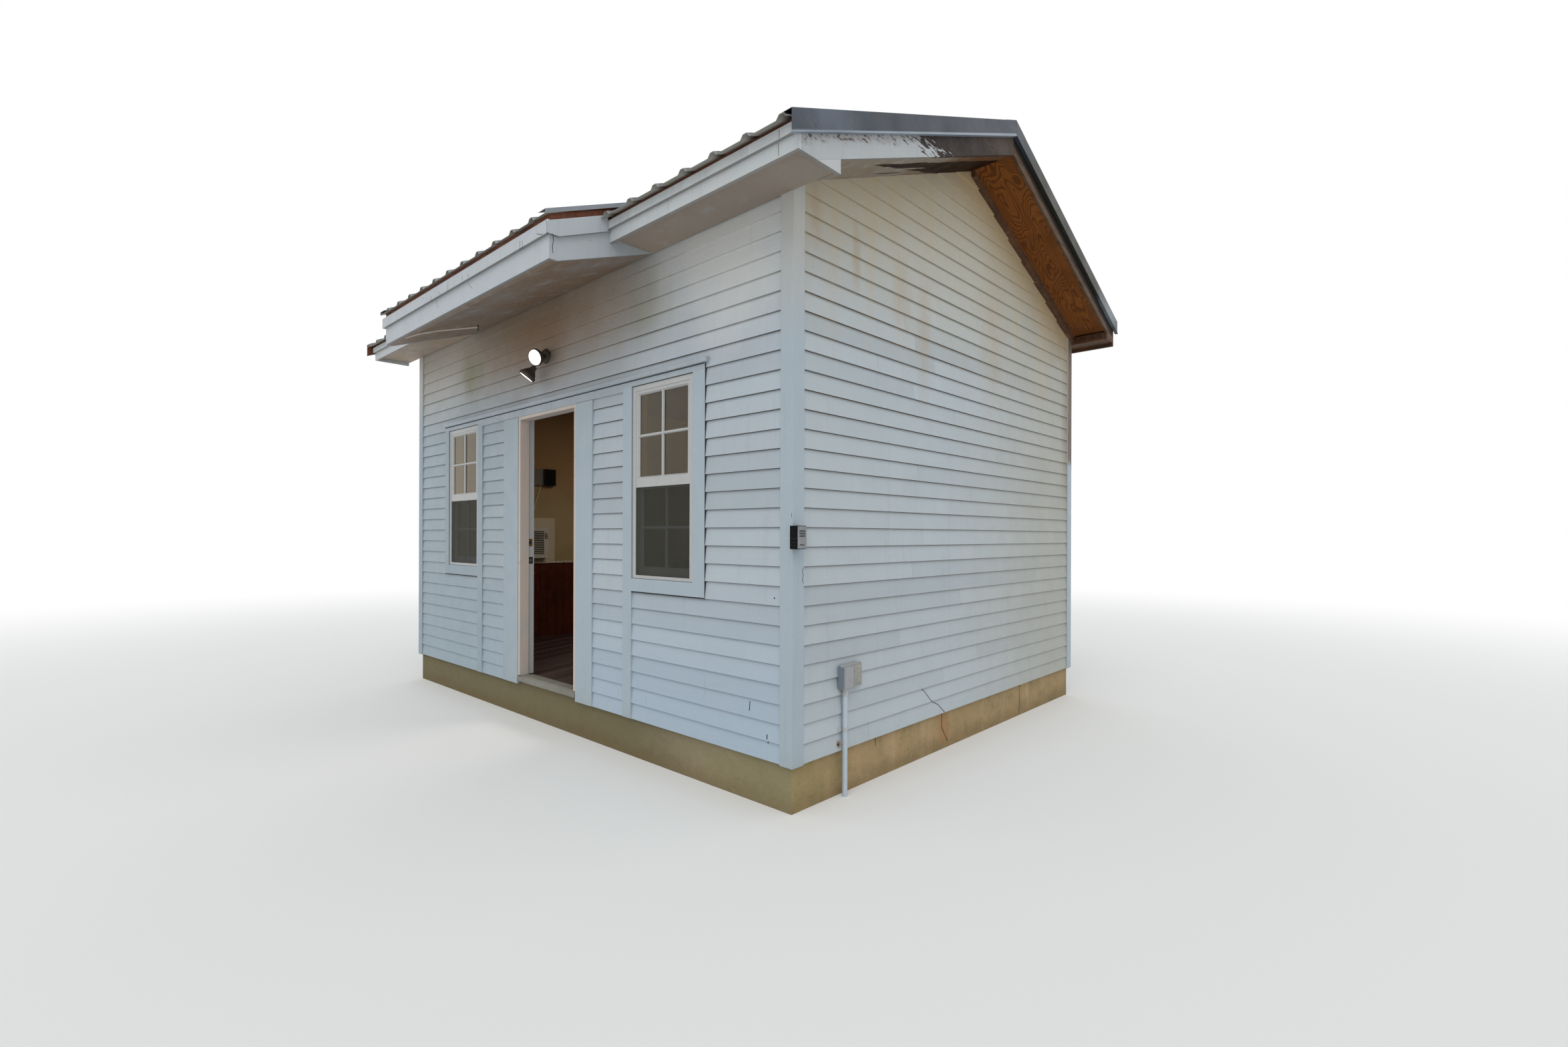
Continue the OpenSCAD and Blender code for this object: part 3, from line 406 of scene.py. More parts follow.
def roofing(name, colour, shade, edge_y):
    """Ribbed sheets: tan and rusty underneath, warmed with painted bounce light from the ground, with painted
    pale highlights on the rib sides and the cut edge at the eave.
    """
    sheet = metal(name, colour, 0.38, shade)
    # Tan backing coat on the undersides, warmed with painted bounce light from the ground, then rust
    under = sheet.facing(DOWN)
    sheet.layer(under, "#6f5b43", 0.9)
    rust = sheet.mask("blotches", Scale=16, Low=0.45, High=0.6)
    sheet.layer(sheet.both(under, rust), "#6b371b", 0.8)
    # Painted pale highlights: on the rib sides and ends near the eave, and on the cut edge itself
    highlight_near_eave = sheet.beyond(TO_FRONT, -edge_y - 0.16, -edge_y - 0.03, 0.02)
    sheet.layer(sheet.both(highlight_near_eave, sheet.facing(UP, 0.6, 0.2)), "#b5b4ac", 0.85)
    sheet.level(TO_FRONT, -edge_y - 0.03, -edge_y - 0.005, 0.03, "#8f918c", 0.6)


# Front wall: painted bluish sky light low down, painted shade to the left, and taupe painted shade with warm
# bounce light under the porch roof
coat = siding_paint("siding_front", "#abb4bc", ALONG_X, "#4f4d47")
# Painted bluish sky light low down, and painted shade to the left
coat.level(DOWN, -1.3, -0.3, 0.3, "#a1b4c5", 0.7)
coat.level(LEFT, -0.6, 1.6, 0.2, "#8f9ea6", 0.7)
# Taupe painted shade with warm bounce light under the porch roof, left of the corner
shaded_under_eave = coat.beyond(UP, 2.25, 3.05, 0.3)
left_of_corner = coat.beyond(LEFT, -1.9, -0.7, 0.2)
coat.layer(coat.both(shaded_under_eave, left_of_corner), "#aaa092", 0.8)
soft, streaked = {"Stretch": (3, 3, 3), "Ragged": 0.5}, {"Stretch": (9, 9, 2), "Ragged": 0.9}
for x, z, wide, tall, colour, amount, core, edge in (
        # Taupe painted shade under the porch roof
        (-0.15, 3, 1.75, 0.65, "#8a7058", 0.9, 0, soft),
        # Painted light where the porch roof shades the wall less
        (2, 3.1, 0.95, 0.75, "#d2d2ce", 0.8, 0.2, soft),
        (-1.3, 2.83, 0.34, 0.3, "#6e6f42", 0.6, 0, streaked),
        (1.27, 2.84, 0.34, 0.3, "#6e6f42", 0.3, 0, streaked)):
    coat.patch((x, front_face, z), (wide, 0.5, tall), colour, amount, Core=core, **edge)
coat.runs((34, 34, 2.2), 0.62, 0.8, "#7f8078", 0.18)

# Right gable: creamy painted warm light high up and under the rake, painted shade towards the back, with the
# tan runs of a leaking roof
coat = siding_paint("siding_right", "#afb8bd", ALONG_Y, "#4d3a22")
# Painted warm light high up, and painted shade towards the back
coat.level(UP, 2.3, 3.6, 0.3, "#b7b19f", 0.9)
coat.level(TO_BACK, -0.6, 1.7, 0.2, "#a19f93", 0.75)
under_rake = coat.beyond(UP, 2.2, 3.1, 0.3)
tan_runs = coat.mask("runs", Stretch=(5, 5, 0.4), Low=0.5, High=0.6)
coat.layer(coat.both(under_rake, tan_runs), "#b9a98c", 0.3)
# Painted warm bounce light in a band under the rake soffit
for slant, amount in ((-pitch, 0.3), (pitch, 0.7)):
    coat.level((0, slant, 1), soffit_peak - 0.55, soffit_peak - 0.02, 0.15, "#b39a6f", amount)
leak = "#a58b66"
for y, z, wide, tall, colour, amount in (
        (-1.69, 3.13, 0.075, 0.24, leak, 0.4), (-1.34, 3, 0.06, 0.3, leak, 0.5),
        (-0.62, 2.68, 0.13, 0.6, leak, 0.35), (-0.88, 2.9, 0.16, 0.3, leak, 0.3),
        (0.35, 2.9, 0.3, 0.9, leak, 0.25), (1.75, 2.3, 0.12, 1, "#8d7d64", 0.6)):
    coat.patch((side_core, y, z), (0.2, wide, tall), colour, amount, Stretch=(40, 40, 5), Ragged=0.8, Core=0)
coat.patch((side_core, -1.49, 0.285), (0.05, 0.028, 0.03), "#8a6a48", 0.9, Ragged=0.6)

# Stained cast concrete: greyer on the front with mould and painted shade, darker to the left with painted
# shade, damp near the ground
cast = Finish("concrete", "#a28c68", 0.8, specular_ior_level=0.15)
cast.blotches(2.2, 0.4, 0.7, "#b2966e", 0.7)
cast.blotches(6, 0.45, 0.75, "#7c7355", 0.6)
cast.runs((8, 8, 1), 0.5, 0.75, "#b99f7c", 0.6)
# Front faces greyer: partly mould, partly painted shade; painted shade darker again to the left
front = cast.facing(TO_FRONT)
cast.layer(front, "#8d8570", 0.7)
shaded_to_left = cast.beyond(LEFT, -2, -1, 0.4)
cast.layer(cast.both(front, shaded_to_left), "#6d664b", 0.85)
cast.level(DOWN, -0.14, 0, 0.15, "#6d5c40", 0.5)
cast.patch((2.3, -1.85, 0.14), (0.7, 0.6, 0.2), "#7c7a50", 0.4, Stretch=(9, 9, 9))
cast.patch((side_core, -0.32, 0.14), (0.1, 0.1, 0.16), "#a06c42", 0.45)
cast.blotches(40, 0.55, 0.75, "#5b5542", 0.4)
cast.worn(12, 0.15)
cast.pitted(45, 0.0016)
cast.pitted(9, 0.003)

# Corner boards and casings: darker to the left with painted shade, warmer under the eaves, bare high up at the
# back
coat = weathered_paint("trim", "#a3b0b9", ALONG_Z)
# Painted shade to the left
coat.level(LEFT, 0, 1.4, 0.1, "#8e9ba4", 0.75)
coat.level(UP, 2.3, 3.1, 0.2, "#bfbab0", 0.7)
bare = coat.beyond(UP, 2.04, 2.1, 0.25, Stretch=(60, 60, 3))
coat.layer(coat.both(coat.beyond(TO_BACK, 1.792, 1.796), bare), "#5e4733", 0.9)

# Soffit paint under the eaves, greyer towards the right end
coat = weathered_paint("soffit", "#a08f7e", ALONG_X, "#6b5c4c", 0.9, gloss=0.1)
coat.level(RIGHT, 0.6, 2.2, 0.3, "#837c76", 0.6)

# Front rake painted, smeared and rotten towards the peak; the back rake was never painted, and a painted
# shadow of the metal trim darkens the top of its board
coat = eave_paint("rake_paint", "#b2b6b8", gloss=0.15)
peak_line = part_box("rake_boards")[1].z - 0.16
top_edge = coat.beyond((0, -pitch, 1), peak_line + 0.07, peak_line + 0.12, 0.2, Stretch=(5, 9, 20))
coat.layer(top_edge, "#8d7a6c", 0.3)
strokes = coat.mask("runs", Stretch=(10, 34, 80), Low=0.52, High=0.58)
coat.layer(coat.both(top_edge, strokes), "#4d3326", 0.85)
for start, end, colour, amount in ((9.17, 9.22, "#24160f", 0.97), (9.75, 10.1, "#483c33", 0.9)):
    rot = coat.beyond((0, -0.058, 2.54), start, end, 1.3, Stretch=(5, 11, 60))
    coat.layer(rot, colour, amount)
coat.patch((2.79, -0.57, 3.82), (0.1, 0.03, 0.022), "#3a2a20", 0.8, Ragged=0.8)
behind = bare_behind(coat, -0.01, 0.01, "#5a4534", 0.45, "#3a2618", 0.75)
# Painted shadow of the metal trim along the top of the bare back board
shadow_under_metal = coat.beyond((0, pitch, 1), soffit_peak + 0.035, soffit_peak + 0.062, 0.01)
coat.layer(coat.both(behind, shadow_under_metal), "#0d0805", 0.95)

# Boxed ends of the eaves: painted at the front, bare at the back
coat = eave_paint("returns_paint", "#bdbebe", gloss=0.25)
bare_behind(coat, -0.5, 0.5, "#4c3220", 0.4, "#2f1c10", 0.7)

# Painted soffit under the front rake, rotten along the wall and up to the peak
coat = weathered_paint("rake_soffit", "#8e8272", ALONG_Y, "#3b2c22", 0.9, gloss=0.05)
coat.level(TO_BACK, -1.05, -0.45, 0.5, "#5d3c22", 0.9)
torn = (26, 7, 4)
flaked = {"Stretch": (30, 26, 4), "Ragged": 1.7, "Core": 0.6}
for side in (-1, 1):
    inner = coat.beyond((side, 0.216, 0), 2.365, 2.378, 0.06, Stretch=torn)
    outer = coat.beyond((-side, 0, 0), -2.7, -2.69, 0.06, Stretch=torn)
    coat.layer(coat.both(inner, outer), "#1f0f07", 0.96)
    coat.patch((side * 2.6, -1, 3.6), (0.014, 0.23, 3), "#a3968a", 0.85, **flaked)
    coat.patch((side * 2.537, -1.13, 3.5), (0.01, 0.2, 3), "#33190c", 0.9, **flaked)

# Pinkish paint on the jamb's outer face, grey white behind the rebate
coat = weathered_paint("jamb", "#c4b7ac", ALONG_Z, "#8a7c66", 0.6)
coat.level(TO_BACK, -1.804, -1.802, 0, "#b1b4b8", 0.9)
coat.blotches(22, 0.66, 0.7, "#8d7460", 0.5)

# Dark trim along the rakes, its left end rusty, with painted pale sky reflections along its front hem and at
# the lower ends of the right rake
sheet = metal("edge_metal", "#252c38", 0.36, "#3d4859")
sheet.patch((2.816, -1.802, 3.415), (0.1, 0.0022, 0.065), "#0e1218", 0.8, Ragged=0, Core=0.8)
sheet.patch((2.816, -2.09, 3.272), (0.1, 0.008, 0.008), "#0b0d10", 0.9, Ragged=0, Core=0.7)
trim = [v.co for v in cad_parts["edge_trims"].data.vertices if v.co.x > 2.8 and v.co.y < -0.1]
hem = min(co.z - pitch * co.y for co in trim)
# Painted highlight along the front hem
hem_line = sheet.beyond((0, pitch, -1), -hem - 0.01, -hem - 0.006)
sheet.layer(sheet.both(hem_line, sheet.beyond(TO_FRONT, -0.001, 0.001)), "#8f9aa6", 0.8)
sheet.level(TO_BACK, -0.1, 0.4, 0.2, "#201e12", 0.92)
# Painted pale sky reflection at the back lower end
sheet.patch((2.8, 1.9, 3.38), (0.2, 0.4, 0.25), "#8a949c", 0.6, Core=0.1)
sheet.patch((-2.8, -2.2, 3.24), (0.2, 0.35, 0.2), "#6b3d22", 0.9)
# Painted pale sky reflection at the front lower end
sheet.patch((2.8, -2, 3.4), (0.2, 0.35, 0.3), "#5a6573", 0.6, Core=0)

# Rotary-cut plywood under the back rake, with its flame figure
ply = Finish("plywood", "#804c1e", 0.75, specular_ior_level=0.15)
figure, fine = (ply.mask("rings", Stretch=(4.2, 1.5, 0.8), Lines=lines, Low=low, High=1)
                for lines, low in ((200, -0.1), (570, -0.4)))
ply.layer(figure, "#45230a", 0.68)
ply.layer(fine, "#5e3515", 0.35)
ply.runs((60, 3, 3), 0.45, 0.75, "#4c2811", 0.45)
ply.blotches(3, 0.4, 0.75, "#4c2910", 0.55)
ply.worn(9, 0.2)
ply.raise_by(figure, 0.0004)

# Window panes: a warm tint that partly stands in for warm reflections, with blotches of painted reflection
pane = Finish("glass", "#cbb377", 0.03, transmission_weight=1, ior=1.45, specular_ior_level=0.2)
# Painted reflections of foliage
pane.blotches(3, 0.5, 0.8, "#bba362", 0.4)

# Woven insect screen: open between its threads
mesh = Finish("screen", "#2c2d23", 0.7)
mesh.blotches(8, 0.4, 0.7, "#24251a", 0.6)
thread = 0.0016
axes = mesh.add("SeparateXYZ", {0: mesh.at}).outputs
waves = [mesh.math("SINE", mesh.math("MULTIPLY", axes[i], 2 * math.pi / thread)) for i in (0, 2)]
mesh.feed(mesh.shader, {"Alpha": mesh.fade(mesh.math("MAXIMUM", *waves), -9, 10)})

# Walls of the room: brown above, olive beige lower down
lining = Finish("lining", "#9b8762", 0.6)
lining.level(UP, 1.6, 2.2, 0.15, "#94704c", 0.85)
lining.blotches(3, 0.45, 0.75, "#857250", 0.5)
lining.level(TO_FRONT, -front_inside + 0.001, -front_inside + 0.002, 0, "#c9c6b4", 0.95)
lining.worn(6, 0.15)
lining.grain(ALONG_Z, 0.0004)

# Ledge over the panelling, its pale paint flaking
rail = plain("rail", "#c9bda6", 0.55, "#a08f76")
rail.blotches(70, 0.5, 0.56, "#5c5348", 0.8)

# Plank floor
boards = Finish("floor_boards", "#40332f", 0.42)
boards.tones("#332826", "#514240", 0.8)
boards.runs((22, 8, 30), 0.5, 0.8, "#261e1c", 0.5)
boards.worn(8, 0.2)
boards.grain((40, 12, 50), 0.0005)

# Lit face of the lamps
lit = Finish("lamp_face", "#fffdf4", 0.25, emission_color=paint("#fffaf0"), emission_strength=3)
lit.blotches(60, 0.4, 0.7, "#fff6dd", 0.5)

# Black case with a brushed silver face plate
case = plain("key_box", "#0b0c0e", 0.45, "#060708", specular_ior_level=0.08)
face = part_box("key_box")[1].x
plate = case.beyond(RIGHT, face - 0.004, face - 0.003)
case.layer(plate, "#84878a", 1)
brushed = case.mask("runs", Stretch=(40, 200, 12), Low=0.4, High=0.7)
case.layer(case.both(plate, brushed), "#9c9fa2", 0.6)

# Grey box with painted bluish shade on its front faces; its lid half is a milky, weathered plastic
box = plain("outlet_box", "#98999b", 0.5, "#7f8388")
# Painted bluish shade on the front faces
box.layer(box.facing(TO_FRONT, 0.5, 0.8), "#6b7885", 0.9)
lid = box.beyond(TO_BACK, outlet_half - 0.0005, outlet_half + 0.0005)
box.layer(lid, "#97948f", 1)
milky = box.mask("blotches", Scale=30, Low=0.45, High=0.65)
box.layer(box.both(lid, milky), "#7f857c", 0.5)

# Black box beside a grey junction box
box = plain("wall_box", "#141516", 0.5, "#090a0a", specular_ior_level=0.2)
middle = (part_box("wall_box")[0].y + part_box("wall_box")[1].y) / 2
box.layer(box.beyond(TO_FRONT, -middle - 0.001, -middle + 0.001), "#6f6a62", 1)

# The other finishes, each of one of the kinds above
siding_paint("siding_back", "#a9b2b8", ALONG_X, "#4f4f4b", tones=0.22, shade=0.45)
weathered_paint("band", "#a0aab1", ALONG_X, "#6f6a5e", 0.8)
weathered_paint("porch_soffit", "#84705f", ALONG_X, "#4a4038", 0.9, gloss=0.2)
eave_paint("fascia_paint", "#bfc3c5")
eave_paint("porch_paint", "#b0b6bb")
roofing("roofing", "#2d333b", "#434c58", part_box("roof_metal_front")[0].y)
roofing("porch_roofing", "#6a7173", "#555c5f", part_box("porch_metal")[0].y)
for look in (("back_timber", "#5a3a20", "#2f1c10", "#7d5632", ALONG_X),
             ("batten", "#75422b", "#402519", "#93583a", ALONG_X),
             ("rafter", "#a5824f", "#6b5230", "#bf9a66", DOWN_SLOPE),
             ("sheathing", "#7d6341", "#4e3d28", "#9c8058", (3, 30, 30)),
             ("wainscot", "#4a2013", "#2a100a", "#63301d", ALONG_Z)):
    bare_timber(*look)
for look in (("bright_trim", "#8a9096", 0.35, "#747a80", 0.6), ("threshold", "#85837a", 0.45, "#6d6b62", 0.3),
             ("brass", "#b08d4c", 0.3, "#7a6032", 1), ("steel", "#9a9c9c", 0.35, "#6f7171", 0.9)):
    metal(*look)
for look in (("vinyl", "#b0b1b0", 0.35, "#999997"), ("panel", "#b9aa90", 0.55, "#9c8c72"),
             ("bronze", "#43392f", 0.45, "#2c251e"), ("buttons", "#26282b", 0.5, "#15171a"),
             ("conduit", "#b2bdc6", 0.5, "#929da6"), ("cooler", "#b9b2a4", 0.5, "#9a9284"),
             ("cable", "#beb6aa", 0.5, "#978d80"), ("crack_and_shade", "#2a2520", 0.9, "#17130f"),
             ("pale_edge", "#b9aea4", 0.6, "#8f857b")):
    plain(*look)

for coat in finishes.values():
    coat.done()


def circle(radius, steps):
    turns = [2 * math.pi * i / steps for i in range(steps)]
    return [(radius * math.cos(t), radius * math.sin(t)) for t in turns]


class Shape:
    """Points and faces of one piece, gathered solid by solid. Each solid has a tone between 0 and 1."""

    def __init__(self):
        self.points = []
        self.faces = []
        self.tone = []

    def skin(self, rings, tone=0.5):
        """Closed solid over rings with as many points each."""
        start, n = len(self.points), len(rings[0])
        top = (len(rings) - 1) * n
        faces = [list(range(n))[::-1], list(range(top, top + n))]
        faces += [[r + i, r + (i + 1) % n, r + n + (i + 1) % n, r + n + i]
                  for r in range(0, top, n) for i in range(n)]
        self.points += [Vector(p) for ring in rings for p in ring]
        self.faces += [[start + i for i in face] for face in faces]
        self.tone += [tone] * len(faces)

    def drawn(self, outline, axis, start, end, tone=0.5):
        """Outline in the plane across an axis, drawn along that axis."""
        self.skin([[(*p[:axis], reach, *p[axis:]) for p in outline] for reach in (start, end)], tone)

    def box(self, a, b):
        self.drawn([(a[0], a[1]), (b[0], a[1]), (b[0], b[1]), (a[0], b[1])], 2, a[2], b[2])

    def turned(self, profile, at, axis, steps=32):
        """Solid of revolution from (distance along the axis, radius) pairs."""
        turn = Vector(UP).rotation_difference(Vector(axis))
        self.skin([[Vector(at) + turn @ Vector((x, y, along)) for x, y in circle(radius, steps)]
                   for along, radius in profile])

    def rod(self, a, b, radius):
        along = Vector(b) - Vector(a)
        self.turned([(0, radius), (along.length, radius)], a, along.normalized(), 16)

    def tube(self, path, radius, steps=12):
        """Round tube along a path."""
        rings = []
        for i, at in enumerate(path):
            along = (path[min(i + 1, len(path) - 1)] - path[max(i - 1, 0)]).normalized()
            turn = Vector(UP).rotation_difference(along)
            rings.append([at + turn @ Vector((x, y, 0)) for x, y in circle(radius, steps)])
        self.skin(rings)

    def strips(self, path, normal, width, proud=0.0005, sunk=0.001):
        """Flat strip along a path on a surface, a hair proud of it."""
        normal = Vector(normal)
        for a, b in zip(path, path[1:]):
            side = (b - a).cross(normal).normalized() * (width / 2)
            ring = [a - side, a + side, b + side, b - side]
            self.skin([[p - normal * sunk for p in ring], [p + normal * proud for p in ring]])


def show(name, shape, finish, replaced=(), bevel=0, smooth=False):
    """Makes a piece from a shape, with its finish, and lets it ride on the house."""
    mesh = bpy.data.meshes.new(name)
    mesh.from_pydata(shape.points, [], shape.faces)
    mesh.attributes.new("tone", "FLOAT", "FACE").data.foreach_set("value", shape.tone)
    work = bmesh.new()
    work.from_mesh(mesh)
    bmesh.ops.recalc_face_normals(work, faces=work.faces)
    for face in work.faces:
        face.smooth = smooth
    work.to_mesh(mesh)
    work.free()
    mesh.materials.append(finishes[finish].material)
    piece = place(name, mesh)
    if bevel:
        soften(piece, bevel)
    if smooth:
        creases = piece.modifiers.new("creases", "EDGE_SPLIT")
        creases.split_angle = math.radians(35)
    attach(piece, "root")
    if replaced:
        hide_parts(*replaced)


def soften(piece, width):
    """Takes the sharpness off the edges."""
    bevel = piece.modifiers.new("edges", "BEVEL")
    bevel.width = width
    bevel.segments = 2
    bevel.limit_method = "ANGLE"
    bevel.angle_limit = math.radians(40)


def dress(node, finish, bevel):
    """Gives a construction node its finish, and softens its edges."""
    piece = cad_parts[node]
    for slot in piece.material_slots:
        slot.material = finishes[finish].material
    if bevel:
        piece.modifiers.new("weld", "WELD").merge_threshold = WELD
        soften(piece, bevel)


def solids(node):
    """Lowest and highest corner of each separate solid of a node, from left to right and from low to high."""
    work = bmesh.new()
    work.from_mesh(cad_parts[node].data)
    bmesh.ops.remove_doubles(work, verts=work.verts, dist=WELD)
    found = []
    seen = set()
    for start in work.verts:
        if start in seen:
            continue
        seen.add(start)
        front, members = [start], []
        while front:
            vert = front.pop()
            members.append(vert.co.copy())
            near = {edge.other_vert(vert) for edge in vert.link_edges} - seen
            seen |= near
            front += near
        found.append([Vector(pick(p[i] for p in members) for i in range(3)) for pick in (min, max)])
    work.free()
    return sorted(found, key=lambda box: (round(box[0].x, 3), round(box[0].z, 3)))


class Plane:
    """Upright face of a node: u runs along it and z up."""

    def __init__(self, node, across, plane):
        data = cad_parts[node].data
        corners = ([data.vertices[i].co for i in face.vertices] for face in data.polygons)
        self.triangles = [[(c[across], c.z) for c in triangle] for triangle in corners
                          if all(abs(c[1 - across] - plane) < SAME_PLANE for c in triangle)]
        self.levels = sorted({round(z, 4) for triangle in self.triangles for _, z in triangle})

    def spans(self, z):
        """Stretches of the face at a height."""
        found = []
        for triangle in self.triangles:
            cuts = [u0 + (u1 - u0) * (z - z0) / (z1 - z0)
                    for (u0, z0), (u1, z1) in zip(triangle, triangle[1:] + triangle[:1])
                    if (z0 - z) * (z1 - z) < 0]
            if len(cuts) == 2:
                found.append(sorted(cuts))
        merged = []
        for start, end in sorted(found):
            if merged and start <= merged[-1][1] + SAME_SPAN:
                merged[-1][1] = max(merged[-1][1], end)
            else:
                merged.append([start, end])
        return merged


class Wall(Plane):
    """Sided wall: out is the distance from its sheathing."""

    def __init__(self, node, across, core, side):
        super().__init__(node, across, core + side * butt)
        self.across = across
        self.core = core
        self.side = side

    def at(self, u, z, out):
        away = self.core + self.side * out
        return Vector((u, away, z)) if self.across == 0 else Vector((away, u, z))


def split_span(low_span, high_span, joint):
    """Cuts a stretch of board in two at a butt joint, where one falls inside it."""
    least, gap = 0.05, 0.0007
    if not all(span[0] + least < joint < span[1] - least for span in (low_span, high_span)):
        return [(low_span, high_span)]
    return [((low_span[0], joint - gap), (high_span[0], joint - gap)),
            ((joint + gap, low_span[1]), (joint + gap, high_span[1]))]


def clapboards(wall):
    """Lap siding of one wall: each course is a wedge that overlaps the one below."""
    shape = Shape()
    top = wall.levels[-1]
    hair, sliver, probe = 0.0002, 0.002, 0.02
    foot = siding_foot
    while foot < top - sliver:
        head = min(foot + COURSE, top)
        whole = wall.spans(min(foot + probe, head - hair))
        left, right = whole[0][0], whole[-1][1]
        joint = left + (right - left) * chance.uniform(0.15, 0.85)
        tones = [chance.random(), chance.random()]
        lift = chance.uniform(-0.0006, 0.0006)
        thick = butt - abs(chance.gauss(0, 0.0005))
        cuts = [foot] + [z for z in wall.levels if foot + hair < z < head - hair] + [head]
        for low, high in zip(cuts, cuts[1:]):
            outs = [thick - (thick - THIN_EDGE) * (z - foot) / COURSE for z in (low, low, high, high)]
            under = low + lift if low == foot > siding_foot else low
            for a, b in zip(wall.spans(low + hair), wall.spans(high - hair)):
                parts = split_span(a, b, joint)
                for i, (lower, upper) in enumerate(parts):
                    base = [(lower[0], under), (lower[1], under), (upper[1], high), (upper[0], high)]
                    inner = [wall.at(u, z, 0) for u, z in base]
                    outer = [wall.at(u, z, out) for (u, z), out in zip(base, outs)]
                    part = i if len(parts) == 2 else int((a[0] + a[1]) / 2 > joint)
                    shape.skin([inner, outer], tones[part])
        foot += COURSE
    return shape


def side_with_boards():
    """Clapboards on all four walls; the back and the left share a finish."""
    for side, across, core, way, finish in (
            ("front", 0, front_core, -1, "front"), ("right", 1, side_core, 1, "right"),
            ("left", 1, -side_core, -1, "back"), ("back", 0, back_core, 1, "back")):
        boards = clapboards(Wall("siding_" + side, across, core, way))
        show("clapboards_" + side, boards, "siding_" + finish, ["siding_" + side])


def window_bars():
    """Muntins of each pane, and the sloping beads that hold the glass."""
    shape = Shape()
    half, deep, flat, bead = 0.0105, 0.011, 0.005, 0.009
    for low, high in solids("window_glass"):
        x, z, y = (low.x + high.x) / 2, (low.z + high.z) / 2, low.y
        bar = [(-half, y), (-flat, y - deep), (flat, y - deep), (half, y)]
        shape.drawn([(x + u, v) for u, v in bar], 2, low.z, high.z)
        for a, b in ((low.x, x - flat), (x + flat, high.x)):
            shape.drawn([(v, z + u) for u, v in bar], 0, a, b)
        for corner, way in ((low, 1), (high, -1)):
            rim = [(0, y), (0, y - deep), (way * bead, y)]
            shape.drawn([(corner.x + u, v) for u, v in rim], 2, low.z, high.z)
            shape.drawn([(v, corner.z + u) for u, v in rim], 0, low.x, high.x)
    show("window_bars", shape, "vinyl", bevel=0.0012)


def sash_locks():
    """Cam lock on each meeting rail, inside the room."""
    shape = Shape()
    cam = [(0, 0), (0, 0.01), (0.01, 0.009), (0.012, 0.006), (0.012, 0)]
    for low, high in solids("window_sashes"):
        if low.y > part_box("window_sashes")[0].y + 0.01:
            x, y, z = (low.x + high.x) / 2, high.y - 0.013, high.z
            shape.box((x - 0.026, y - 0.011, z - 0.0005), (x + 0.026, y + 0.011, z + 0.003))
            shape.turned(cam, (x, y, z + 0.002), UP, 20)
            shape.box((x - 0.004, y, z + 0.008), (x + 0.004, y + 0.028, z + 0.013))
    show("sash_locks", shape, "vinyl", bevel=0.0008)


def joint_lines():
    """Open joints round the window frames, the door jamb and the head board, with painted shadow in dark
    strips under the drip cap, under the aprons and round the frames.
    """
    fine, proud, deep = 0.0026, 0.0004, 0.002
    wide, narrow = 1.6 * fine, 0.6 * fine
    (first, _), (_, last) = [(low.x, high.x) for low, high in solids("window_trim")][:2]
    left, right = sorted(solids("door_casing"), key=lambda box: box[0].x)
    face, head = left[0].y, left[1].z
    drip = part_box("head_trim")[1].z - 0.0265
    under_drip, apron = drip - 0.007, drip - 0.03
    # Painted shadow under the drip cap, and along the end of the right window's trim
    lines = [(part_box("head_trim")[0].x + 0.002, last, face - 0.0005, face + deep, under_drip, drip),
             (last - 0.0005, last + 0.004, face + 0.001, front_core, apron, under_drip)]
    # Round each window frame: dark gaps and painted shadow at its edges, and painted shadow under the apron
    for low, high in solids("window_frames"):
        y, back = low.y - proud, low.y - proud + deep
        a, b = low.x + fine, high.x - narrow
        below = low.z - 0.082
        reach, near = (last, low.x) if low.x > 0 else (first, high.x)
        lines += [(low.x, a, y, back, low.z, high.z), (b, high.x, y, back, low.z, high.z),
                  (a, b, y, back, high.z - wide, high.z), (a, b, y, back, low.z, low.z + 0.8 * fine),
                  (*sorted((reach, near)), face + 0.003, front_core, below - 0.007, below + 0.0005),
                  (reach - 0.001, reach + 0.001, face + 0.003, front_core, below, apron)]
    jamb_low, jamb_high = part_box("door_jamb")
    lines.append((-0.41, -0.409, -1.806, -1.8015, jamb_low.z, jamb_high.z - 0.05))
    for x in (left[1].x, right[0].x):
        lines.append((x - fine / 2, x + fine / 2, jamb_low.y - proud, jamb_low.y + deep, jamb_low.z, head))
    for low, high in (left, right):
        lines.append((low.x, high.x, face - proud, face + deep, head - 0.001, head + 0.001))
    shape = Shape()
    for x0, x1, y0, y1, z0, z1 in lines:
        shape.box((x0, y0, z0), (x1, y1, z1))
    show("joint_lines", shape, "crack_and_shade")


def siding_surface(across, u, z):
    """Point on the face of the lapped boards of the front or the right wall."""
    out = butt - (butt - THIN_EDGE) * (((z - siding_foot) / COURSE) % 1)
    return Vector((side_core + out, u, z)) if across else Vector((u, front_core - out, z))


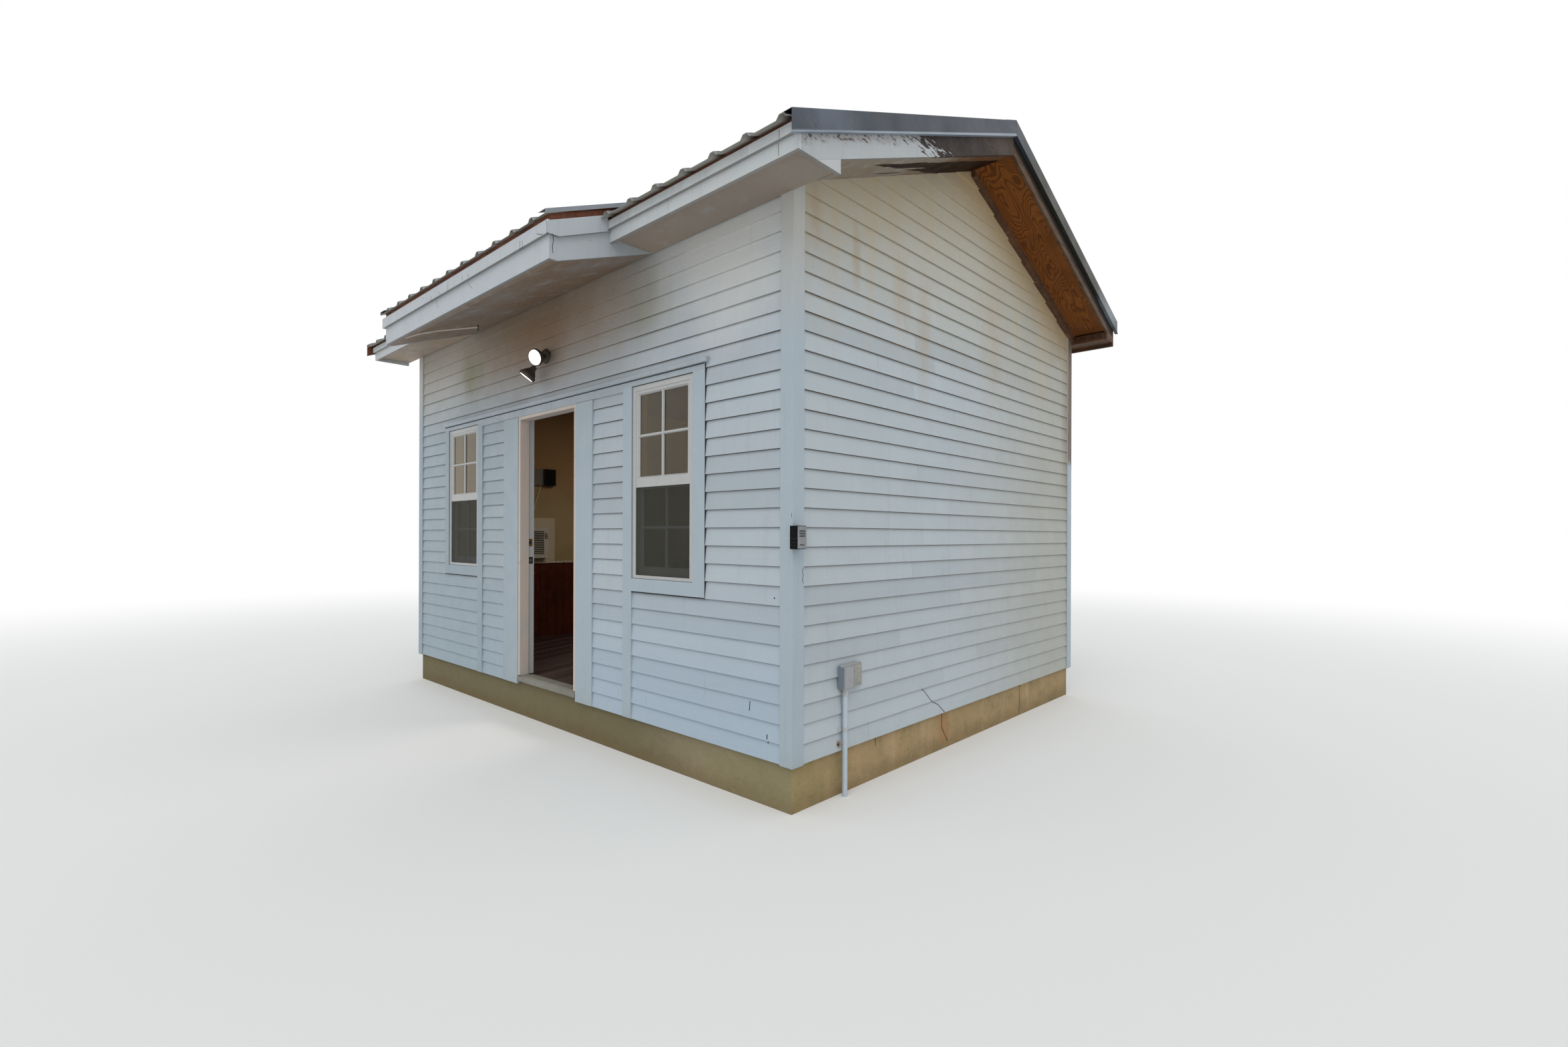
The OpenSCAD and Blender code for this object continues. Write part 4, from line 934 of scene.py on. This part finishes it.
def marks():
    """Cracks, splits and scratches: thin strips that sit on the boards and the foundation."""
    shape = Shape()
    upper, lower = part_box("porch_fascia")[0].y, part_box("porch_soffit")[0].y - 0.02
    on_front = {
        upper: [
            (0.003, [(0.318, 3.098), (0.32, 3.072)]),
            (0.0022, [(0.228, 3.106), (0.228, 3.08)]),
            (0.0022, [(0.001, 3.128), (-0.002, 3.066)]),
            (0.0024, [(-0.298, 3.099), (-0.288, 3.064)]),
            (0.0022, [(-0.448, 3.116), (-0.414, 3.107)]),
            (0.0016, [(-0.164, 3.096), (-0.118, 3.066)]),
            (0.003, [(1.212, 3.093), (1.246, 3.078), (1.275, 3.073)]),
            (0.0022, [(1.014, 3.109), (1.017, 3.058)]),
            (0.0022, [(1.043, 3.104), (1.044, 3.056)]),
            (0.0026, [(1.318, 3.13), (1.324, 3.103), (1.321, 3.073), (1.325, 3.053)]),
        ],
        lower: [(0.0016, [(-0.253, 3.061), (-0.217, 3.002)]), (0.0016, [(0.264, 3.056), (0.334, 3.005)])],
        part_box("eave_strip")[0].y: [(0.0022, [(2.69, 3.25), (2.693, 3.223), (2.69, 3.212)])],
        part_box("fascia_front")[0].y: [(0.0022, [(2.669, 3.208), (2.67, 3.15)])],
        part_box("corner_boards")[0].y: [(0.0018, [(2.483, 1.54), (2.481, 1.516)])],
    }
    on_right = {
        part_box("porch_ends")[1].x: [(0.003, [(-2.553, 3.07), (-2.55, 3.031), (-2.556, 3), (-2.552, 2.965)])],
        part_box("corner_boards")[1].x: [
            (0.0026, [(-1.8, 1.262), (-1.806, 1.24), (-1.798, 1.222), (-1.806, 1.201), (-1.797, 1.18)]),
        ],
        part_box("foundation")[1].x: [
            (0.005, [(-0.35, 0.25), (-0.35, 0.148), (-0.315, 0.096), (-0.27, 0.037)]),
            (0.004, [(0.86, 0.272), (0.866, 0.14), (0.858, 0.006)]),
            (0.003, [(-1.12, 0.27), (-1.112, 0.19)]),
        ],
    }
    for plane, strips in on_front.items():
        for width, points in strips:
            shape.strips([Vector((x, plane, z)) for x, z in points], TO_FRONT, width)
    for plane, strips in on_right.items():
        for width, points in strips:
            shape.strips([Vector((plane, y, z)) for y, z in points], RIGHT, width)
    lapped = [
        (1, 0.0045, [(-0.632, 0.449), (-0.6, 0.43), (-0.529, 0.359), (-0.433, 0.316), (-0.355, 0.252)]),
        (0, 0.005, [(2.173, 0.537), (2.174, 0.487)]),
        (0, 0.006, [(2.307, 0.385), (2.308, 0.336)]),
        (0, 0.008, [(2.351, 1.1), (2.359, 1.101)]),
    ]
    short, longest = 0.012, 0.02
    for across, width, points in lapped:
        for (u0, z0), (u1, z1) in zip(points, points[1:]):
            steps = max(2, round(math.dist((u0, z0), (u1, z1)) / short))
            for i in range(steps):
                ends = (i / steps, (i + 1) / steps - 0.01)
                path = [siding_surface(across, u0 + (u1 - u0) * t, z0 + (z1 - z0) * t) for t in ends]
                if (path[0] - path[1]).length < longest:
                    shape.strips(path, RIGHT if across else TO_FRONT, width)
    show("marks", shape, "crack_and_shade")


def soffit_seam():
    """Sagging joint strip of the porch soffit, with the gap at its wall end."""
    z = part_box("porch_soffit")[0].z
    for name, proud, finish, path in (
            ("soffit_seam", 0.004, "pale_edge",
             [(-0.933, -2.53), (-0.736, -2.5), (-0.561, -2.436), (-0.372, -2.343), (-0.251, -2.278)]),
            ("soffit_gap", 0.0005, "crack_and_shade", [(-0.19, -2.3), (-0.25, -2.275), (-0.33, -2.24)])):
        shape = Shape()
        shape.strips([Vector((x, y, z)) for x, y in path], DOWN, 0.012, proud)
        show(name, shape, finish)


def rake_friezes():
    """Bare nailer along the wall under the plywood of the back rakes, with a strip along its top."""
    shape = Shape()
    low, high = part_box("rake_soffit_back")
    peak = low.z + pitch * high.y
    near, far = 0.004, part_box("corner_boards")[1].y - 0.002
    for side in (-1, 1):
        core = side * side_core
        for inner, outer, under, over in ((0, 0.042, 0.052, 0.003), (0.042, 0.054, 0.006, 0.001)):
            outline = [(near, peak - under), (near, peak - over), (far, peak - over - pitch * far),
                       (far, peak - under - pitch * far)]
            shape.drawn(outline, 0, core + side * inner, core + side * outer)
    show("rake_friezes", shape, "back_timber", bevel=0.0015)


def panelling():
    """Upright boards of the dark panelling in the room, with open joints between them."""
    shape = Shape()
    low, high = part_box("wainscot")
    offsets = {round(v.co.x - low.x, 4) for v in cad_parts["wainscot"].data.vertices}
    thick = min(p for p in offsets if p > 0.001)
    wide, gap, ease = 0.098, 0.002, 0.003
    for across, plane, way in ((1, low.x, 1), (1, high.x, -1), (0, low.y, 1), (0, high.y, -1)):
        out = plane + way * thick
        rim = out - way * ease
        for start, end in Plane("wainscot", across, out).spans((low.z + high.z) / 2):
            count = max(1, round((end - start) / wide))
            for i in range(count):
                a = start + (end - start) * i / count + (gap / 2 if i else 0)
                b = start + (end - start) * (i + 1) / count - (gap / 2 if i < count - 1 else 0)
                board = [(a, plane), (a, rim), (a + ease, out), (b - ease, out), (b, rim), (b, plane)]
                outline = [p[::-1] for p in board] if across else board
                shape.drawn(outline, 2, low.z, high.z, chance.random())
    show("panelling", shape, "wainscot", ["wainscot"])


def foundation_block():
    """Cast foundation with an uneven face."""
    low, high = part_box("foundation")
    rows, step = 9, 0.04
    corners = [(low.x, low.y), (high.x, low.y), (high.x, high.y), (low.x, high.y)]
    ring = []
    for (x0, y0), (x1, y1) in zip(corners, corners[1:] + corners[:1]):
        count = round(math.dist((x0, y0), (x1, y1)) / step)
        normal = Vector((y1 - y0, x0 - x1, 0)).normalized()
        ring += [(x0 + (x1 - x0) * i / count, y0 + (y1 - y0) * i / count, normal, i == 0)
                 for i in range(count)]
    rings = []
    for row in range(rows + 1):
        z = low.z + (high.z - low.z) * row / rows
        rings.append([Vector((x, y, z)) - normal * (0 if corner or row == 0 else abs(chance.gauss(0, 0.0008)))
                      for x, y, normal, corner in ring])
    shape = Shape()
    shape.skin(rings)
    show("foundation_block", shape, "concrete", ["foundation"])


def clip(outline, a, b, keep):
    """Part of an outline that lies on the kept side of a line a·x + b·y = keep."""
    result = []
    for p, q in zip(outline, outline[1:] + outline[:1]):
        dp, dq = a * p[0] + b * p[1] - keep, a * q[0] + b * q[1] - keep
        if dp <= 0:
            result.append(p)
        if dp * dq < 0:
            t = dp / (dp - dq)
            result.append((p[0] + (q[0] - p[0]) * t, p[1] + (q[1] - p[1]) * t))
    return result


def floor_planks():
    """Plank floor, laid at a slant across the room."""
    low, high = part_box("floor")
    wide, gap, slant = 0.09, 0.0012, math.radians(70)
    a, b = math.sin(slant), math.cos(slant)
    room = [(low.x, low.y), (high.x, low.y), (high.x, high.y), (low.x, high.y)]
    shape = Shape()
    reach = math.dist((low.x, low.y), (high.x, high.y)) / 2
    for i in range(-int(reach / wide) - 1, int(reach / wide) + 2):
        plank = clip(room, a, b, (i + 1) * wide - gap)
        plank = clip(plank, -a, -b, -i * wide) if plank else []
        if len(plank) > 2:
            shape.drawn(plank, 2, low.z, high.z, chance.random())
    show("floor_planks", shape, "floor_boards", ["floor"], bevel=0.0006)


def roof_screws():
    """Screws with washers beside the ribs, in rows over the battens."""
    shape = Shape()
    rib, beside_rib, margin = 0.229, 0.06, 0.06
    first_row, row_step, rib_rise = 0.11, 0.64, 0.02
    screw = [(0, 0.007), (0.002, 0.007), (0.0021, 0.0045), (0.006, 0.004)]
    for node, side in (("roof_metal_front", -1), ("roof_metal_back", 1)):
        low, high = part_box(node)
        eave, ridge = max(abs(low.y), abs(high.y)), min(abs(low.y), abs(high.y))
        slope = (high.z - low.z) / (eave - ridge)
        up = Vector((0, side * slope, 1)).normalized()
        crest = max(v.co.z + slope * abs(v.co.y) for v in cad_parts[node].data.vertices)
        for row in range(4):
            run = eave - first_row - row_step * row
            z = crest - rib_rise / up.z - slope * run
            for k in range(-12, 12):
                x = (low.x + high.x) / 2 + (k + 0.5) * rib - beside_rib
                if low.x + margin < x < high.x - margin:
                    shape.turned(screw, (x, side * run, z), up, 8)
    show("roof_screws", shape, "roofing", smooth=True)


def floodlight():
    """Twin light over the door: round base, two arms, lamps with lit faces."""
    base_r = 0.055
    middle = Vector((0, front_face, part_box("floodlight")[1].z - base_r))
    hub = middle + Vector((0, -0.046, 0))
    plate = [(0, base_r), (0.008, base_r), (0.012, 0.052), (0.02, 0.047), (0.026, 0.038), (0.028, 0)]
    knuckle = [(-0.015, 0), (-0.011, 0.01), (0, 0.015), (0.011, 0.01), (0.015, 0)]
    lamp = [(-0.012, 0), (-0.01, 0.016), (0.006, 0.021), (0.02, 0.024), (0.04, 0.038), (0.062, 0.055),
            (0.07, 0.062), (0.088, 0.062), (0.092, 0.06), (0.092, 0.056), (0.086, 0.055), (0.086, 0)]
    lens = [(0.084, 0), (0.0865, 0.054), (0.09, 0.053), (0.0915, 0.036), (0.092, 0)]
    body, face = Shape(), Shape()
    body.turned(plate, middle, TO_FRONT, 48)
    body.rod(middle, hub, 0.012)
    body.turned(knuckle, hub, TO_FRONT, 24)
    for swivel, aim in (((0.04, -0.045, -0.014), (0.292, -0.899, -0.326)),
                        ((-0.04, -0.075, -0.092), (-0.354, -0.487, -0.799))):
        at = middle + Vector(swivel)
        body.rod(hub, at, 0.009)
        body.turned(lamp, at, aim, 48)
        for k in range(3):
            back, fin = 0.024 + 0.01 * k, 0.032 + 0.008 * k
            front = back + 0.003
            body.turned([(back, 0), (back, fin), (front, fin + 0.001), (front, 0)], at, aim, 48)
        face.turned(lens, at, aim, 48)
    show("floodlight_body", body, "bronze", ["floodlight"], smooth=True)
    show("floodlight_lenses", face, "lamp_face", smooth=True)


def key_box_keys():
    """Push buttons and the release bar on the key box's face plate."""
    low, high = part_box("key_box")
    wide = high.y - low.y
    half, sunk, proud = 0.0038, 0.001, 0.0016
    shape = Shape()
    for row in range(3):
        for column in range(4):
            y, z = low.y + wide * (0.24 + 0.155 * column), high.z - 0.027 - row * 0.0125
            shape.box((high.x - sunk, y - half, z - half), (high.x + proud, y + half, z + half))
    shape.box((high.x - sunk, low.y + 0.22 * wide, low.z + 0.02),
              (high.x + proud, low.y + 0.66 * wide, low.z + 0.0245))
    for z in (low.z + 0.018, low.z + 0.033, low.z + 0.052):
        shape.box((low.x + 0.006, low.y - 0.0006, z), (high.x - 0.01, low.y + 0.001, z + 0.0012))
    show("key_box_keys", shape, "buttons", bevel=0.0005)


def conduit_fittings():
    """Strap, coupling and the plugged hole beside the conduit."""
    low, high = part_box("conduit")
    x, y = (low.x + high.x) / 2, (low.y + high.y) / 2
    r = (high.y - low.y) / 2
    strap, half, coupling = 0.367, 0.01, 0.036
    shape = Shape()
    shape.turned([(0, 0), (0, r + 0.0015), (2 * half, r + 0.0015), (2 * half, 0)], (x, y, strap - half), UP)
    shape.turned([(0, 0), (0, r + 0.004), (0.032, r + 0.004), (coupling, r + 0.001), (coupling, 0)],
                 (x, y, high.z - coupling), UP)
    for foot in (low.y - 0.03, high.y + 0.004):
        shape.box((low.x - 0.004, foot, strap - half), (low.x + 0.003, foot + 0.026, strap + half))
    show("conduit_fittings", shape, "vinyl", smooth=True)
    hole = Shape()
    hole.turned([(0, 0), (0, 0.008), (0.0012, 0.007), (0.0014, 0)],
                siding_surface(1, low.y - 0.022, 0.285) - Vector((0.0004, 0, 0)), RIGHT, 16)
    show("conduit_hole", hole, "crack_and_shade")


def outlet_details():
    """Bubble cover, hinge and lips of the outlet box."""
    low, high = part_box("outlet_box")
    corners = [v.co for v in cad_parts["outlet_box"].data.vertices]
    lid_x = max(co.x for co in corners if co.y > outlet_half + 0.01)
    box_x = max(co.x for co in corners if co.y < outlet_half - 0.01)
    hinge_x = max(lid_x, box_x) - 0.001
    foot, head = low.z + 0.008, low.z + 0.114
    shape = Shape()
    shape.rod((hinge_x, outlet_half, foot), (hinge_x, outlet_half, head), 0.0036)
    shape.box((box_x - 0.001, low.y + 0.006, foot - 0.002),
              (box_x + 0.002, outlet_half - 0.008, head + 0.002))
    screw = [(0, 0), (0, 0.004), (0.0015, 0.0035), (0.0018, 0)]
    for z in (low.z + 0.02, low.z + 0.102):
        shape.turned(screw, (box_x + 0.0015, low.y + 0.046, z), RIGHT, 12)
    near, far, rise = outlet_half + 0.008, high.y - 0.006, 0.007
    bubble = []
    for x, inset in ((lid_x - 0.001, 0), (lid_x + rise, 0.012)):
        a, b, c, d = near + inset, far - inset, foot + inset, head - inset
        bubble.append([(x, a, c), (x, b, c), (x, b, d), (x, a, d)])
    shape.skin(bubble)
    show("outlet_details", shape, "outlet_box", bevel=0.002)


def cooler_grilles():
    """Louvres and controls of the air conditioner in the room, and its coil guard outdoors."""
    low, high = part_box("ac_unit")
    louvres, guards = 13, 24
    side, grille_end = low.y + 0.03, -0.668
    foot, head = low.z + 0.04, high.z - 0.036
    dark, pale = Shape(), Shape()
    dark.box((high.x - 0.002, side, foot), (high.x + 0.001, grille_end, head))
    dark.box((high.x - 0.002, grille_end + 0.014, high.z - 0.12),
             (high.x + 0.001, high.y - 0.012, high.z - 0.06))
    dark.box((low.x - 0.001, low.y + 0.025, low.z + 0.03), (low.x + 0.002, high.y - 0.025, high.z - 0.03))
    show("cooler_openings", dark, "crack_and_shade")
    for k in range(louvres):
        z = foot + (k + 0.3) * (head - foot) / louvres
        slat = [(high.x - 0.001, z), (high.x + 0.006, z - 0.005),
                (high.x + 0.006, z - 0.002), (high.x - 0.001, z + 0.004)]
        pale.drawn(slat, 1, side, grille_end)
    for y in (grille_end - 0.0005, low.y + 0.024):
        pale.box((high.x - 0.001, y, low.z + 0.034), (high.x + 0.007, y + 0.007, high.z - 0.03))
    for k in range(2):
        pale.turned([(0, 0), (0, 0.011), (0.01, 0.009), (0.011, 0)],
                    (high.x + 0.0005, (grille_end + high.y) / 2, high.z - 0.078 - 0.026 * k), RIGHT, 20)
    for k in range(guards):
        y = side + (high.y - low.y - 0.06) * (k + 0.5) / guards
        pale.box((low.x - 0.004, y - 0.002, low.z + 0.03), (low.x + 0.001, y + 0.002, high.z - 0.03))
    show("cooler_grilles", pale, "cooler", bevel=0.0006)


def room_cable():
    """Pale cable from the junction box down the wall, behind the door jamb, held by saddles."""
    wall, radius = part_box("left_wall")[1].x, 0.0075
    path = [(-0.65, 2.14), (-0.648, 2.1), (-0.65, 2.046), (-0.66, 1.99), (-0.674, 1.941), (-0.69, 1.885),
            (-0.706, 1.835), (-0.722, 1.785), (-0.735, 1.742), (-0.744, 1.696), (-0.76, 1.62), (-0.79, 1.56),
            (-0.83, 1.52), (-0.85, 1.503)]
    shape = Shape()
    shape.tube([Vector((wall + radius - 0.001, y, z)) for y, z in path], radius)
    show("room_cable", shape, "cable", smooth=True)
    saddles = Shape()
    half = [(0.016, 0), (0.016, 0.002), (0.0095, 0.003), (0.0085, 0.012), (0.004, 0.017)]
    arch = [(-side, out) for side, out in half] + half[::-1]
    for k in (2, 5, 8, 11):
        (y0, z0), (y1, z1) = path[k], path[k + 1]
        along = Vector((0, y1 - y0, z1 - z0)).normalized()
        across = Vector((0, along.z, -along.y))
        middle = Vector((wall - 0.001, y0, z0))
        saddles.skin([[middle + across * side + Vector((out, 0, 0)) + along * reach for side, out in arch]
                      for reach in (-0.005, 0.005)])
    show("cable_saddles", saddles, "cable")


def door_strikes():
    """Brass bolt strike and dark latch strike on the left jamb, with their holes."""
    rebate = -0.4095
    brass, dark, hole = Shape(), Shape(), Shape()
    for shape, sunk, proud, y0, y1, z0, z1 in ((brass, 0.001, 0.0016, -1.808, -1.768, 1.333, 1.392),
                                               (dark, 0.001, 0.0016, -1.802, -1.763, 1.194, 1.248),
                                               (dark, 0, 0.002, -1.797, -1.779, 1.35, 1.375),
                                               (hole, 0, 0.0022, -1.792, -1.774, 1.211, 1.231)):
        shape.box((rebate - sunk, y0, z0), (rebate + proud, y1, z1))
    show("bolt_strike", brass, "brass", bevel=0.0008)
    show("latch_strike", dark, "buttons", bevel=0.0005)
    show("latch_hole", hole, "steel")


def dress_construction():
    """Gives each construction node that shows its finish; sheet metal, glass and the like keep sharp edges."""
    eased = """trim: corner_boards door_casing window_trim
        band: head_trim
        fascia_paint: fascia_front eave_strip
        porch_paint: porch_fascia porch_ends
        rake_paint: rake_boards
        returns_paint: eave_returns
        jamb: door_jamb door_leaf
        vinyl: window_frames window_sashes
        soffit: eave_soffit
        porch_soffit: porch_soffit
        rake_soffit: rake_soffit_front
        plywood: rake_soffit_back
        back_timber: fascia_back back_soffit
        batten: roof_battens
        rafter: rafters ridge_board
        rail: wainscot_rail
        panel: ac_panel
        threshold: threshold
        cooler: ac_unit
        outlet_box: outlet_box
        key_box: key_box"""
    sharp = """roofing: roof_metal_front roof_metal_back ridge_cap
        edge_metal: edge_trims
        porch_roofing: porch_metal
        bright_trim: porch_trims
        sheathing: roof_deck_front roof_deck_back
        lining: front_wall_left front_wall_right front_wall_top left_wall right_wall back_wall
        glass: window_glass
        screen: window_screens
        brass: door_hardware
        conduit: conduit
        wall_box: wall_box"""
    for rows, bevel in ((eased, 0.0015), (sharp, 0)):
        for row in rows.splitlines():
            finish, nodes = row.split(":")
            for node in nodes.split():
                dress(node, finish.strip(), bevel)


def light_and_floor():
    """Pale floor that fades into a white surround, and soft light from all round with one large lamp."""
    white = {"Color": (1, 1, 1, 1), "Strength": 1}
    world = bpy.context.scene.world = bpy.data.worlds.new("surround")
    world.use_nodes = True
    net = Net(world.node_tree)
    path = net.add("LightPath", {})
    mirrored = net.math("MAXIMUM", path.outputs["Is Glossy Ray"], path.outputs["Is Transmission Ray"])
    seen = net.math("MAXIMUM", path.outputs["Is Camera Ray"], mirrored)
    soft = net.add("Background", {"Color": (0.95, 0.98, 1, 1), "Strength": 0.72})
    net.output("World Output", seen, soft, net.add("Background", white))

    lamp = bpy.data.lights.new("large_lamp", "SUN")
    lamp.energy = 1.1
    lamp.angle = math.radians(50)
    lamp.color = (1, 0.985, 0.96)
    place("large_lamp", lamp).rotation_euler = Vector((0.45, -0.62, 0.95)).to_track_quat("Z", "Y").to_euler()

    lamp = bpy.data.lights.new("room_lamp", "AREA")
    lamp.energy = 34
    lamp.size = 1.6
    lamp.color = (1, 0.95, 0.88)
    holder = place("room_lamp", lamp, (0, 0.2, 2.9))
    holder.visible_camera = holder.visible_glossy = holder.visible_transmission = False

    ground = bpy.data.materials.new("ground")
    ground.use_nodes = True
    net = Net(ground.node_tree)
    pale = {"Base Color": (0.8, 0.8, 0.79, 1), "Roughness": 0.9}
    shader = net.feed(net.tree.nodes["Principled BSDF"], pale)
    near, far, edge = 6, 16, 60
    away = net.vector("LENGTH", net.add("TexCoord", {}).outputs["Object"])
    net.output("Material Output", net.fade(away, near, far), shader, net.add("Emission", white))
    disc = bmesh.new()
    bmesh.ops.create_circle(disc, cap_ends=True, segments=96, radius=edge)
    mesh = bpy.data.meshes.new("floor_disc")
    disc.to_mesh(mesh)
    disc.free()
    mesh.materials.append(ground)
    floor = place("floor_disc", mesh, (0, 0, cad_box[0][2] - 0.0005))


dress_construction()
side_with_boards()
window_bars()
sash_locks()
foundation_block()
floor_planks()
roof_screws()
floodlight()
key_box_keys()
conduit_fittings()
outlet_details()
cooler_grilles()
door_strikes()
panelling()
room_cable()
rake_friezes()
joint_lines()
soffit_seam()
marks()
light_and_floor()
